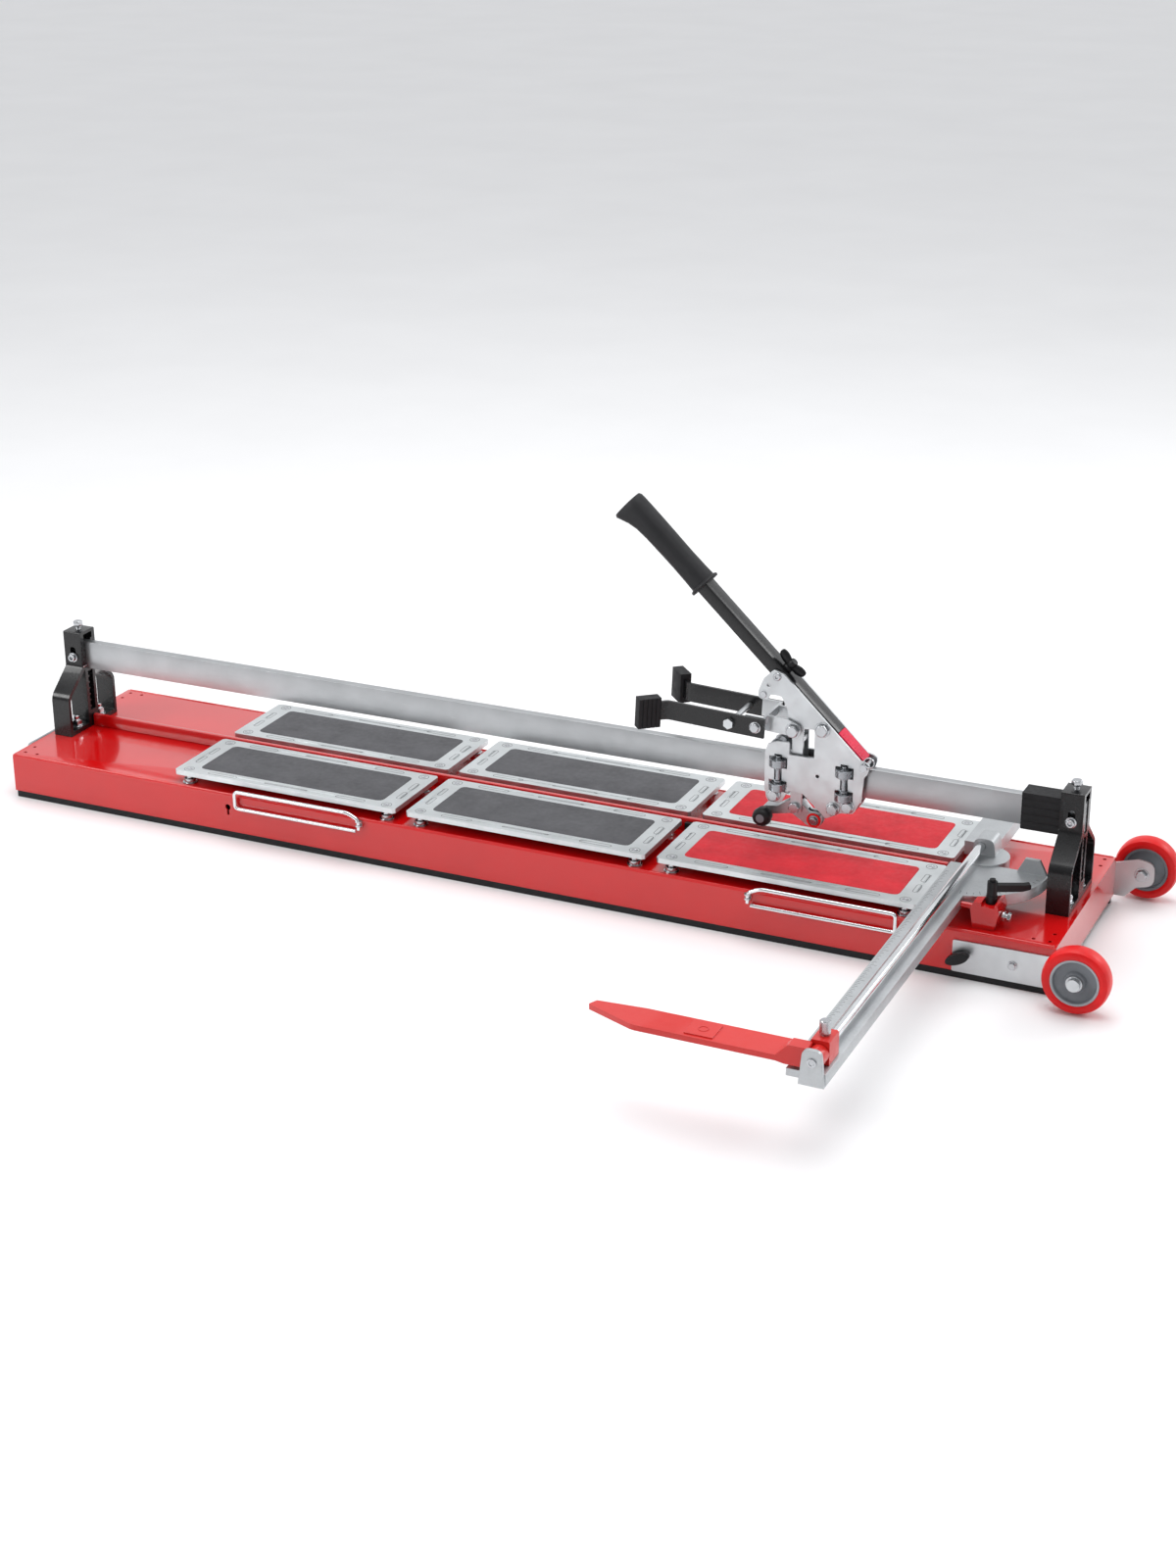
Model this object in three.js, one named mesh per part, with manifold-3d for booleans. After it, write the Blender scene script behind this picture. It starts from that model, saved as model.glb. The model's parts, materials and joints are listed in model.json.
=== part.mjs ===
// Floor-standing tile cutter with a spring-table bed, a guide rail, a rolling scoring carriage,
// a swivelling side fence and two transport wheels.
// Millimetres. +X runs along the rail, +Y points to the rear of the bed, +Z is up.
// The origin is under the middle of the bed, on the surface that the cutter stands on.
import * as THREE from "three";
import { mergeVertices } from "three/addons/utils/BufferGeometryUtils.js";
import Module from "manifold-3d";

const wasm = await Module();
wasm.setup();

// ---------------------------------------------------------------- driving dimensions
const GAP = 0.3; // clearance between pieces that touch

const BED = { length: 1812, width: 350, top: 76.5, sheet: 3, fold: 5, flange: 16 };
const STRIP = { height: 11, width: 9, endInset: 3 }; // rubber strips that the bed stands on
const SPINE = { width: 40, fromX: -840, toX: 680 };
const RIDGE = { thickness: 8, top: 98, fromX: -858, toX: 690 };

const RAIL = { length: 1786, bottom: 184, top: 232, thickness: 15, lift: 12 };
const POST = { insideX: 860, thickness: 35, halfWidth: 20.5, footHalf: 68, blockFrom: 190, top: 251 };
const SLEEVE = { length: 58, halfWidth: 18, bottom: 180.5, top: 240.5, ribs: 5 };

const TABLE = { length: 413, pitch: 432.5, firstX: -583.4, nearY: 15, farY: 167, top: 100 };
const TABLE_PLATE = { thickness: 3, skirt: 8, skirtWall: 2.5, recess: 1.5 };
const MAT_MARGIN = { x: 35, y: 22 };

const CARRIAGE_X = 480;
const PLATE = { inner: 16.3, thickness: 4 };
const BEARING = { radius: 13, width: 12, axleRadius: 4 };
const LEVER_PIVOT = { x: 10.5, z: 288.5 };
const BREAKER_PIVOT = { x: -34.5, z: 282.5 };
const PIVOT_BOLT_RADIUS = 4.5;
const LEVER_ANGLE = THREE.MathUtils.degToRad(43.4); // the lever leans back over the breaker
const LEVER = { width: 30, height: 20, under: -5.3, lowEnd: 19, wall: 2.5, knobX: -105 };
const GRIP = { from: -281, to: -452, radius: 20, hook: 37, ring: 25 };
const CAP = { length: 58, height: 12 };
const BRACKET = { endX: -74, webX: -46, nearX: -42, bottom: -12, webBottom: 3, top: 16, sheet: 4 };
const BREAKER_TILT = THREE.MathUtils.degToRad(2.6);
const ARM = { inner: 40, thickness: 5, halfHeight: 15, nearX: -40, bendX: -198, tip: 33, pinX: -96 };
const PAD = { length: 36, halfThick: 9, bottom: -24, top: 24, ribs: 5 };
const ROCKER_PIVOT = { x: -33, z: 152 };
const ROCKER = { halfWidth: 9.5, knobX: -45, knobZ: -15, wheelX: 30.5, wheelZ: -17.5 };

const FENCE_PIVOT = { x: 735, y: -28 };
const FENCE = { left: -31.5, step: -8, body: -13, right: 22, bottom: 101, top: 118, endY: -700 };
const PROTRACTOR_RADIUS = 117.5;
const ROD = { x: 5, z: 134.3, radius: 7, farY: 50 };
const SLIDER = { left: -8, right: 18, nearY: -677, farY: -641, top: 152 };
const STOP_ARM = { tipX: -321, rootX: -35, nearY: -699, farY: -649, bottom: 123, top: 131 };
const CLAMP = { x: 63, y: -111, seat: 112 };

const WHEEL = { x: 946.75, y: 210.4, z: 52, radius: 49.5, width: 32, hubRadius: 35.5 };
const SUPPORT_PIVOT_X = { left: -229, right: 437 };
const BOLT = { hexRadius: 9.8, headHeight: 6.5 };

// ---------------------------------------------------------------- finishes
function finish(color, roughness, metalness) {
  return new THREE.MeshStandardMaterial({ color, roughness, metalness });
}
const RED_PAINT = finish(0xc8161a, 0.2, 0);
const BLACK_PAINT = finish(0x202124, 0.4, 0);
const BLACK_PLASTIC = finish(0x2a2b2e, 0.55, 0);
const RUBBER = finish(0x232325, 0.8, 0);
const ZINC = finish(0xd5d7d8, 0.35, 1);
const STEEL = finish(0xb8babc, 0.3, 1);
const CHROME = finish(0xe6e8ea, 0.08, 1);
const CAST_ALUMINIUM = finish(0xb9bbbd, 0.45, 1);
const RED_TYRE = finish(0xe0282a, 0.45, 0);
const GREY_HUB = finish(0x85888c, 0.5, 0);
const RED_PLASTIC = finish(0xd8284a, 0.4, 0);

// ---------------------------------------------------------------- solids
function toSolid(geometry) {
  const loose = geometry.index ? geometry.toNonIndexed() : geometry;
  const bare = new THREE.BufferGeometry().setAttribute("position", loose.getAttribute("position"));
  const merged = mergeVertices(bare, 1e-4);
  const triVerts = new Uint32Array(merged.index.array);
  return new wasm.Manifold(
    new wasm.Mesh({ numProp: 3, vertProperties: merged.attributes.position.array, triVerts }),
  );
}

function toGeometry(solid) {
  const mesh = solid.getMesh();
  const geometry = new THREE.BufferGeometry();
  geometry.setAttribute("position", new THREE.BufferAttribute(mesh.vertProperties, 3));
  geometry.setIndex(new THREE.BufferAttribute(mesh.triVerts, 1));
  geometry.computeVertexNormals();
  return geometry;
}

function join(...solids) {
  return solids.reduce((whole, next) => whole.add(next));
}

function cut(solid, ...tools) {
  return tools.reduce((rest, tool) => rest.subtract(tool), solid);
}

// An outline from corners [u, v] or [u, v, radius]; a corner with a radius is rounded.
function outline(corners) {
  const shape = new THREE.Shape();
  corners.forEach(([u, v, radius = 0], i) => {
    const [pu, pv] = corners[(i + corners.length - 1) % corners.length];
    const [nu, nv] = corners[(i + 1) % corners.length];
    const toPrevious = new THREE.Vector2(pu - u, pv - v).normalize();
    const toNext = new THREE.Vector2(nu - u, nv - v).normalize();
    const halfAngle = Math.acos(THREE.MathUtils.clamp(toPrevious.dot(toNext), -1, 1)) / 2;
    const setback = radius / Math.tan(halfAngle);
    const start = toPrevious.multiplyScalar(setback).add(new THREE.Vector2(u, v));
    const end = toNext.multiplyScalar(setback).add(new THREE.Vector2(u, v));
    if (i === 0) shape.moveTo(start.x, start.y);
    else shape.lineTo(start.x, start.y);
    if (radius > 0) shape.quadraticCurveTo(u, v, end.x, end.y);
  });
  shape.closePath();
  return shape;
}

function rectangle(u0, v0, u1, v1, radius = 0) {
  return outline([
    [u0, v0, radius],
    [u1, v0, radius],
    [u1, v1, radius],
    [u0, v1, radius],
  ]);
}

const AXES = {
  x: [new THREE.Vector3(0, 1, 0), new THREE.Vector3(0, 0, 1), new THREE.Vector3(1, 0, 0)],
  y: [new THREE.Vector3(1, 0, 0), new THREE.Vector3(0, 0, 1), new THREE.Vector3(0, -1, 0)],
  z: [new THREE.Vector3(1, 0, 0), new THREE.Vector3(0, 1, 0), new THREE.Vector3(0, 0, 1)],
};

// An outline drawn in the plane across an axis (YZ for x, XZ for y, XY for z), solid between two
// values of that axis.
function prism(axis, shape, from, to, curveSegments = 4) {
  const depth = to - from;
  const geometry = new THREE.ExtrudeGeometry(shape, { depth, bevelEnabled: false, curveSegments });
  geometry.applyMatrix4(new THREE.Matrix4().makeBasis(...AXES[axis]));
  geometry.translate(axis === "x" ? from : 0, axis === "y" ? to : 0, axis === "z" ? from : 0);
  return toSolid(geometry);
}

function box(x0, y0, z0, x1, y1, z1) {
  const geometry = new THREE.BoxGeometry(x1 - x0, y1 - y0, z1 - z0);
  geometry.translate((x0 + x1) / 2, (y0 + y1) / 2, (z0 + z1) / 2);
  return toSolid(geometry);
}

// A round bar between two values of its axis; u and v are its centre across the axis, in X, Y, Z order.
function bar(axis, u, v, from, to, radius, sides = 16) {
  const geometry = new THREE.CylinderGeometry(radius, radius, to - from, sides);
  const middle = (from + to) / 2;
  if (axis === "x") geometry.rotateZ(-Math.PI / 2).translate(middle, u, v);
  if (axis === "y") geometry.translate(u, middle, v);
  if (axis === "z") geometry.rotateX(Math.PI / 2).translate(u, v, middle);
  return toSolid(geometry);
}

// A turned piece: profile points [radius, position along the axis], starting and ending on the axis.
function turned(axis, profile, sides = 24) {
  const points = profile.map(([radius, along]) => new THREE.Vector2(radius, along));
  const geometry = new THREE.LatheGeometry(points, sides);
  if (axis === "x") geometry.rotateZ(-Math.PI / 2);
  if (axis === "z") geometry.rotateX(Math.PI / 2);
  return toSolid(geometry);
}

// A round wire along straight runs with rounded corners.
function wire(corners, cornerRadius, wireRadius) {
  const points = corners.map((corner) => new THREE.Vector3(...corner));
  const path = new THREE.CurvePath();
  let from = points[0];
  points.slice(1, -1).forEach((corner, i) => {
    const toPrevious = points[i].clone().sub(corner).setLength(cornerRadius);
    const toNext = points[i + 2].clone().sub(corner).setLength(cornerRadius);
    const start = corner.clone().add(toPrevious);
    const end = corner.clone().add(toNext);
    path.add(new THREE.LineCurve3(from, start));
    path.add(new THREE.QuadraticBezierCurve3(start, corner, end));
    from = end;
  });
  path.add(new THREE.LineCurve3(from, points[points.length - 1]));
  const section = new THREE.Shape().absarc(0, 0, wireRadius, 0, 2 * Math.PI);
  const options = { steps: 5 * corners.length, extrudePath: path, curveSegments: 3 };
  return toSolid(new THREE.ExtrudeGeometry(section, options));
}

function addPiece(group, name, solid, material) {
  const mesh = new THREE.Mesh(toGeometry(solid), material);
  mesh.name = name;
  group.add(mesh);
  return mesh;
}

function addGroup(parent, x, y, z) {
  const group = new THREE.Group();
  group.position.set(x, y, z);
  parent.add(group);
  return group;
}

// ---------------------------------------------------------------- bed
function bedPan() {
  const halfLength = BED.length / 2;
  const halfWidth = BED.width / 2;
  const { sheet, fold, flange, top } = BED;
  const bottom = STRIP.height + GAP;
  const channel = outline([
    [-halfWidth, bottom],
    [-halfWidth + flange, bottom],
    [-halfWidth + flange, bottom + sheet],
    [-halfWidth + sheet, bottom + sheet],
    [-halfWidth + sheet, top - sheet],
    [halfWidth - sheet, top - sheet],
    [halfWidth - sheet, bottom + sheet],
    [halfWidth - flange, bottom + sheet],
    [halfWidth - flange, bottom],
    [halfWidth, bottom],
    [halfWidth, top, fold],
    [-halfWidth, top, fold],
  ]);
  const shell = prism("x", channel, -halfLength, halfLength, 3);
  const endWalls = [-1, 1].map((side) => {
    const outer = side * halfLength;
    const inner = side * (halfLength - sheet);
    const [x0, x1] = [Math.min(outer, inner), Math.max(outer, inner)];
    return box(x0, -halfWidth + 1, bottom + 1, x1, halfWidth - 1, top - 1.5);
  });
  return cut(join(shell, ...endWalls), ...cornerHoles(), keyhole());
}

// Three small holes by each corner of the top sheet, for bolting on extension legs.
function cornerHoles() {
  const offsets = [
    [14, 18],
    [38, 18],
    [14, 44],
  ];
  return [-1, 1].flatMap((sideX) =>
    [-1, 1].flatMap((sideY) =>
      offsets.map(([dx, dy]) => {
        const x = sideX * (BED.length / 2 - dx);
        const y = sideY * (BED.width / 2 - dy);
        return bar("z", x, y, BED.top - 8, BED.top + 2, 3.2, 6);
      }),
    ),
  );
}

// Keyhole slot in the front wall.
function keyhole() {
  const [x, z] = [-478, 54];
  const wall = -BED.width / 2;
  const head = bar("y", x, z, wall - 2, wall + 8, 5, 12);
  return join(head, box(x - 2, wall - 2, z - 14, x + 2, wall + 8, z));
}

function rubberStrip(centreY, width, fromX, toX) {
  return prism("x", rectangle(centreY - width / 2, 0, centreY + width / 2, STRIP.height), fromX, toX);
}

// Inverted channel under the breaking ridge, which carries its load down to the bench.
function spineBeam() {
  const half = SPINE.width / 2;
  const bottom = STRIP.height + GAP;
  const top = BED.top - BED.sheet - GAP;
  const wall = 3;
  const section = outline([
    [-half, bottom],
    [half, bottom],
    [half, top],
    [half - wall, top],
    [half - wall, bottom + wall],
    [-half + wall, bottom + wall],
    [-half + wall, top],
    [-half, top],
  ]);
  return prism("x", section, SPINE.fromX, SPINE.toX);
}

function addBed(root) {
  const half = BED.length / 2 - STRIP.endInset;
  const edge = BED.width / 2 - STRIP.width / 2 - 1;
  addPiece(root, "bed_pan", bedPan(), RED_PAINT);
  addPiece(root, "rubber_strip_front", rubberStrip(-edge, STRIP.width, -half, half), RUBBER);
  addPiece(root, "rubber_strip_rear", rubberStrip(edge, STRIP.width, -half, half), RUBBER);
  addPiece(root, "rubber_strip_spine", rubberStrip(0, SPINE.width, SPINE.fromX, SPINE.toX), RUBBER);
  addPiece(root, "spine_beam", spineBeam(), STEEL);
  const ridge = rectangle(-RIDGE.thickness / 2, BED.top + GAP, RIDGE.thickness / 2, RIDGE.top, 1);
  addPiece(root, "breaking_ridge", prism("x", ridge, RIDGE.fromX, RIDGE.toX, 2), RED_PAINT);
}

// ---------------------------------------------------------------- posts and rail
function postOutline() {
  const { halfWidth, footHalf, blockFrom, top } = POST;
  const foot = BED.top + GAP;
  return outline([
    [-footHalf, foot],
    [footHalf, foot],
    [footHalf, 148, 22],
    [halfWidth + 2, blockFrom - 3],
    [halfWidth, blockFrom + 1],
    [halfWidth, top, 2],
    [-halfWidth, top, 2],
    [-halfWidth, blockFrom + 1],
    [-halfWidth - 2, blockFrom - 3],
    [-footHalf, 148, 22],
  ]);
}

// The hollow between the outer flange and the centre web, on one side.
function postHollow(side) {
  const wall = 6;
  const web = 14;
  const floor = BED.top + 8;
  return outline([
    [side * (POST.footHalf - wall), floor],
    [side * (POST.footHalf - wall), 145, 18],
    [side * web, 184],
    [side * web, floor],
  ]);
}

// One post: an extruded yoke that the rail end sits in, with a toothed height slot below it.
function post(side) {
  const x0 = side > 0 ? POST.insideX : -POST.insideX - POST.thickness;
  const x1 = x0 + POST.thickness;
  const seat = RAIL.thickness / 2 + GAP;
  const body = prism("x", postOutline(), x0, x1, 5);
  const hollows = [-1, 1].map((way) => prism("x", postHollow(way), x0 - 1, x1 + 1, 4));
  const railSlot = box(x0 - 1, -seat, RAIL.bottom - GAP, x1 + 1, seat, RAIL.top + RAIL.lift);
  const yoke = prism("x", rectangle(-12, RAIL.top + 3, 12, POST.top - 5, 1), x0 - 1, x1 + 1);
  const heightSlot = box(x0 - 1, -7, 106, x1 + 1, 7, 178);
  const clampSlot = prism("y", rectangle(-5.5, -12, 5.5, 12, 5), -POST.halfWidth - 3, POST.halfWidth + 3);
  const teeth = Array.from({ length: 6 }, (_, i) => {
    const z = 112 + i * 11;
    return box(x0, -7.5, z, x1, -4, z + 3);
  });
  const slotted = cut(body, ...hollows, railSlot, yoke, clampSlot.translate((x0 + x1) / 2, 0, 212));
  return join(slotted.subtract(heightSlot), ...teeth);
}

function rail() {
  const half = RAIL.thickness / 2;
  const section = rectangle(-half, RAIL.bottom, half, RAIL.top, 1.2);
  return prism("x", section, -RAIL.length / 2, RAIL.length / 2, 2);
}

// Ribbed rubber sleeve that stops the carriage short of the right post.
function stopSleeve() {
  const { halfWidth, bottom, top, ribs, length } = SLEEVE;
  const pitch = (top - bottom) / ribs;
  const side = (sign) =>
    Array.from({ length: ribs }, (_, i) => {
      const z = sign > 0 ? bottom + i * pitch : top - i * pitch;
      return [
        [sign * halfWidth, z + sign * 1],
        [sign * halfWidth, z + sign * (pitch - 3)],
        [sign * (halfWidth - 1), z + sign * (pitch - 2)],
        [sign * (halfWidth - 1), z + sign * (pitch - 1)],
      ];
    }).flat();
  const section = outline([...side(1), ...side(-1)]);
  const x1 = POST.insideX - GAP;
  const seat = RAIL.thickness / 2 + GAP;
  const body = prism("x", section, x1 - length, x1);
  return cut(body, box(x1 - length - 1, -seat, RAIL.bottom - GAP, x1 + 1, seat, RAIL.top + GAP));
}

function addRail(root) {
  addPiece(root, "post_left", post(-1), BLACK_PAINT);
  addPiece(root, "post_right", post(1), BLACK_PAINT);
  addPiece(root, "guide_rail", rail(), STEEL);
  addPiece(root, "stop_sleeve", stopSleeve(), RUBBER);
}

// ---------------------------------------------------------------- spring tables
// One table: a folded plate with a shallow recess for its rubber mat and pressed slots in its rim.
function table(x0, y0) {
  const x1 = x0 + TABLE.length;
  const y1 = y0 + TABLE.farY - TABLE.nearY;
  const { thickness, skirt, skirtWall, recess } = TABLE_PLATE;
  const top = TABLE.top;
  const block = prism("z", rectangle(x0, y0, x1, y1, 4), top - skirt, top, 1);
  const under = box(
    x0 + skirtWall,
    y0 + skirtWall,
    top - skirt - 1,
    x1 - skirtWall,
    y1 - skirtWall,
    top - thickness,
  );
  const mat = rectangle(
    x0 + MAT_MARGIN.x,
    y0 + MAT_MARGIN.y,
    x1 - MAT_MARGIN.x,
    y1 - MAT_MARGIN.y,
    10,
  );
  return cut(block, under, prism("z", mat, top - recess, top + 1, 2), ...rimSlots(x0, y0, x1, y1));
}

function rimSlots(x0, y0, x1, y1) {
  const depth = 0.8;
  const [midX, midY] = [(x0 + x1) / 2, (y0 + y1) / 2];
  const slot = (cx, cy, halfX, halfY) => {
    const shape = rectangle(cx - halfX, cy - halfY, cx + halfX, cy + halfY, Math.min(halfX, halfY) * 0.9);
    return prism("z", shape, TABLE.top - depth, TABLE.top + 1, 1);
  };
  const along = [-1, 1].flatMap((way) =>
    [y0 + MAT_MARGIN.y / 2, y1 - MAT_MARGIN.y / 2].map((y) => slot(midX + way * 68, y, 34, 2.5)),
  );
  const across = [x0 + 13, x1 - 13].map((x) => slot(x, midY, 2.5, 33));
  return [...along, ...across];
}

function addTables(root) {
  ["front", "rear"].forEach((row) => {
    ["left", "middle", "right"].forEach((place, i) => {
      const x0 = TABLE.firstX + i * TABLE.pitch;
      const y0 = row === "front" ? -TABLE.farY : TABLE.nearY;
      addPiece(root, `table_${row}_${place}`, table(x0, y0), ZINC);
    });
  });
}

// ---------------------------------------------------------------- carriage
// Side plate outline, relative to the carriage centre.
function sidePlateOutline() {
  return outline([
    [-81, 182],
    [-81, 257, 20],
    [-41.5, 260, 2],
    [-41.5, 240, 2],
    [-1.5, 240, 2],
    [-1.5, 287, 3],
    [-22, 285, 3],
    [-30, 270, 8],
    [-46, 273, 7],
    [-43, 293, 3],
    [-47, 314, 6],
    [-56, 333, 8],
    [-74, 333, 3],
    [-80, 322, 6],
    [-95, 325, 7],
    [-93, 338, 4],
    [-86, 357, 20],
    [-69, 374, 5],
    [-53, 368, 6],
    [16, 302],
    [72, 248, 2],
    [89, 244, 8],
    [84, 228, 6],
    [79, 222, 3],
    [76, 186, 8],
    [64, 160, 8],
    [44, 158, 5],
    [20, 145, 4],
    [-18, 179, 2],
    [-42, 180, 3],
    [-54, 158, 9],
    [-76, 158, 9],
  ]);
}

// Openings in a side plate that the edges of the side bearings stand through.
function bearingWindow(x) {
  const from = PLATE.inner - 1;
  const to = PLATE.inner + PLATE.thickness + 1;
  const wide = BEARING.radius + 1.5;
  return join(
    box(x - wide, from, 216, x + wide, to, 234),
    box(x - wide, from, 177, x + wide, to, 195),
    box(x - 6, from, 174, x + 6, to, 238),
  );
}

const SIDE_BEARING_X = [-59, 47.5];
const LOWER_ROLLER_X = [-65, 54.5];
const LOWER_ROLLER_Z = RAIL.bottom - GAP - BEARING.radius;
const RING_PIN = { x: 77.8, z: 238.3, radius: 3 };

function sidePlate() {
  const from = PLATE.inner;
  const to = PLATE.inner + PLATE.thickness;
  const hole = (x, z, radius) => bar("y", x, z, from - 1, to + 1, radius, 10);
  return cut(
    prism("y", sidePlateOutline(), from, to, 2),
    ...SIDE_BEARING_X.map(bearingWindow),
    ...LOWER_ROLLER_X.map((x) => hole(x, LOWER_ROLLER_Z, BEARING.axleRadius + GAP)),
    hole(LEVER_PIVOT.x, LEVER_PIVOT.z, PIVOT_BOLT_RADIUS + GAP),
    hole(BREAKER_PIVOT.x, BREAKER_PIVOT.z, PIVOT_BOLT_RADIUS + GAP),
    hole(RING_PIN.x, RING_PIN.z, RING_PIN.radius + GAP),
    hole(4.7, 212, 3),
    hole(-77.4, 347.7, 3.2),
  );
}

// Two ball bearings on an upright axle, rolling on one side of the rail.
function sideBearing() {
  const { radius, width, axleRadius } = BEARING;
  const lower = 180;
  const upper = 219;
  return turned("z", [
    [0, 176],
    [axleRadius, 176],
    [axleRadius, lower],
    [radius, lower],
    [radius, lower + width],
    [axleRadius, lower + width],
    [axleRadius, upper],
    [radius, upper],
    [radius, upper + width],
    [axleRadius, upper + width],
    [axleRadius, 236],
    [0, 236],
  ], 12);
}

// A roller on its own axle, rolling on the underside of the rail.
function lowerRoller() {
  const { radius, axleRadius } = BEARING;
  const halfWidth = 7;
  const end = PLATE.inner + PLATE.thickness + 1.5;
  return turned("y", [
    [0, -end],
    [axleRadius, -end],
    [axleRadius, -halfWidth],
    [radius, -halfWidth],
    [radius, halfWidth],
    [axleRadius, halfWidth],
    [axleRadius, end],
    [0, end],
  ], 14);
}

// Bolt across the carriage with a hexagon head at each end.
function crossBolt(halfLength) {
  const head = BOLT.hexRadius;
  const shank = bar("y", 0, 0, -halfLength, halfLength, 4.5, 16);
  const ends = [-1, 1].map((side) => {
    const [y0, y1] = [side * halfLength, side * (halfLength - BOLT.headHeight)].sort((a, b) => a - b);
    return bar("y", 0, 0, y0, y1, head, 6);
  });
  return join(shank, ...ends);
}

function addCarriage(root) {
  const carriage = addGroup(root, CARRIAGE_X, 0, 0);
  addPiece(carriage, "carriage_plate_rear", sidePlate(), ZINC);
  addPiece(carriage, "carriage_plate_front", sidePlate().mirror([0, 1, 0]), ZINC);
  const bearingY = RAIL.thickness / 2 + GAP + BEARING.radius;
  ["front", "rear"].forEach((row) => {
    ["left", "right"].forEach((place, i) => {
      const bearing = addPiece(carriage, `side_bearing_${row}_${place}`, sideBearing(), STEEL);
      bearing.position.set(SIDE_BEARING_X[i], row === "front" ? -bearingY : bearingY, 0);
    });
  });
  ["left", "right"].forEach((place, i) => {
    const roller = addPiece(carriage, `lower_roller_${place}`, lowerRoller(), STEEL);
    roller.position.set(LOWER_ROLLER_X[i], 0, LOWER_ROLLER_Z);
  });
  const plateOuter = PLATE.inner + PLATE.thickness;
  const leverBolt = addPiece(carriage, "lever_pivot_bolt", crossBolt(plateOuter + 8), ZINC);
  leverBolt.position.set(LEVER_PIVOT.x, 0, LEVER_PIVOT.z);
  const breakerBolt = addPiece(carriage, "breaker_pivot_bolt", crossBolt(plateOuter + 13.5), ZINC);
  breakerBolt.position.set(BREAKER_PIVOT.x, 0, BREAKER_PIVOT.z);
  addPiece(carriage, "stirrup", stirrup(), ZINC);
  addPiece(carriage, "lock_ring_pin", lockRingPin(), ZINC);
  addLever(carriage);
  addBreaker(carriage);
  addRocker(carriage);
}

// U-shaped strap that hangs from the breaker bolt, round the rail, and carries the rocker pivot.
function stirrup() {
  const inner = 10;
  const outer = 14;
  const leg = rectangle(-40, 143, -22, 291, 6);
  const block = prism("y", leg, -outer, outer, 3);
  const throat = box(-45, -inner, 120, -15, inner, 300);
  const topBridge = box(-40, -inner - 1, 259, -24, inner + 1, 266);
  const hole = bar("y", BREAKER_PIVOT.x, BREAKER_PIVOT.z, -outer - 1, outer + 1, 4.8, 16);
  const lowerHole = bar("y", ROCKER_PIVOT.x, ROCKER_PIVOT.z, -outer - 1, outer + 1, 4.3, 16);
  return cut(join(cut(block, throat), topBridge), hole, lowerHole);
}

// Quick-release pin through the plate tips, with its pull ring.
function lockRingPin() {
  const { x, z, radius } = RING_PIN;
  const pinEnd = PLATE.inner + PLATE.thickness + 5;
  const pin = bar("y", x, z, -pinEnd, pinEnd, radius, 12);
  const head = bar("y", x, z, -pinEnd, -pinEnd + 4, 6, 12);
  const ring = toSolid(new THREE.TorusGeometry(8, 1.6, 6, 12).rotateX(Math.PI / 2));
  return join(pin, head, ring.translate(x + 9, -pinEnd + 2, z + 10));
}

// ---------------------------------------------------------------- lever
// Drawn along the lever: -X runs up to the grip, +Z is its upper side, the origin is its pivot.
function addLever(carriage) {
  const lever = addGroup(carriage, LEVER_PIVOT.x, 0, LEVER_PIVOT.z);
  lever.rotation.y = LEVER_ANGLE;
  addPiece(lever, "lever_tube", leverTube(), BLACK_PAINT);
  addPiece(lever, "lever_grip", leverGrip(), RUBBER);
  addPiece(lever, "lever_end_cap", leverEndCap(), RED_PLASTIC);
  const knob = addPiece(lever, "lever_wing_knob", wingKnob(), BLACK_PLASTIC);
  knob.position.set(LEVER.knobX, 0, LEVER.under + LEVER.height + GAP);
}

function leverTube() {
  const half = LEVER.width / 2;
  const { under, height, wall, lowEnd } = LEVER;
  const insideGrip = GRIP.to + 30;
  const outer = prism("x", rectangle(-half, under, half, under + height, 2), insideGrip, lowEnd, 2);
  const bore = rectangle(-half + wall, under + wall, half - wall, under + height - wall);
  return cut(
    outer,
    prism("x", bore, insideGrip - 1, lowEnd + 1),
    bar("y", 0, 0, -half - 1, half + 1, PIVOT_BOLT_RADIUS + GAP, 16),
  );
}

// Rubber grip: round, with a ring at its mouth, a hooked underside at its far end and a bore for the tube.
function leverGrip() {
  const { from, to, radius, hook, ring } = GRIP;
  const body = turned("x", [
    [0, to],
    [radius - 1, to],
    [radius, to + 3],
    [radius - 1, to + 60],
    [radius + 0.5, from - 6],
    [ring, from - 5],
    [ring, from],
    [0, from],
  ], 16);
  const underHook = prism("y", outline([
    [to, 0],
    [to - 2, -hook, 4],
    [to + 10, -hook, 6],
    [to + 40, -radius + 2, 12],
    [to + 60, -radius + 6],
    [to + 60, 0],
  ]), -radius + 5, radius - 5, 4);
  const half = LEVER.width / 2 + GAP;
  const boreHalf = LEVER.height / 2 + GAP;
  const bore = box(to + 29, -half, -boreHalf, from + 1, half, boreHalf);
  return cut(join(body, underHook), bore).translate(0, 0, LEVER.under + LEVER.height / 2);
}

function leverEndCap() {
  const half = LEVER.width / 2 - 1;
  const from = LEVER.lowEnd + GAP;
  const top = LEVER.under + LEVER.height;
  const shape = outline([
    [from, top - CAP.height],
    [from + CAP.length, top - CAP.height, 3],
    [from + CAP.length, top, 3],
    [from, top],
  ]);
  return prism("y", shape, -half, half, 3);
}

// Wing knob on a short hub; its origin is on the lever's upper face.
function wingKnob() {
  const wings = prism("y", outline([
    [-26.5, 9, 3],
    [-12, 4],
    [12, 4],
    [26.5, 9, 3],
    [24, 18, 4],
    [10, 14],
    [5, 20, 3],
    [-5, 20, 3],
    [-10, 14],
    [-24, 18, 4],
  ]), -4, 4, 2);
  return join(bar("z", 0, 0, 0, 14, 8, 12), wings);
}

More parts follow.
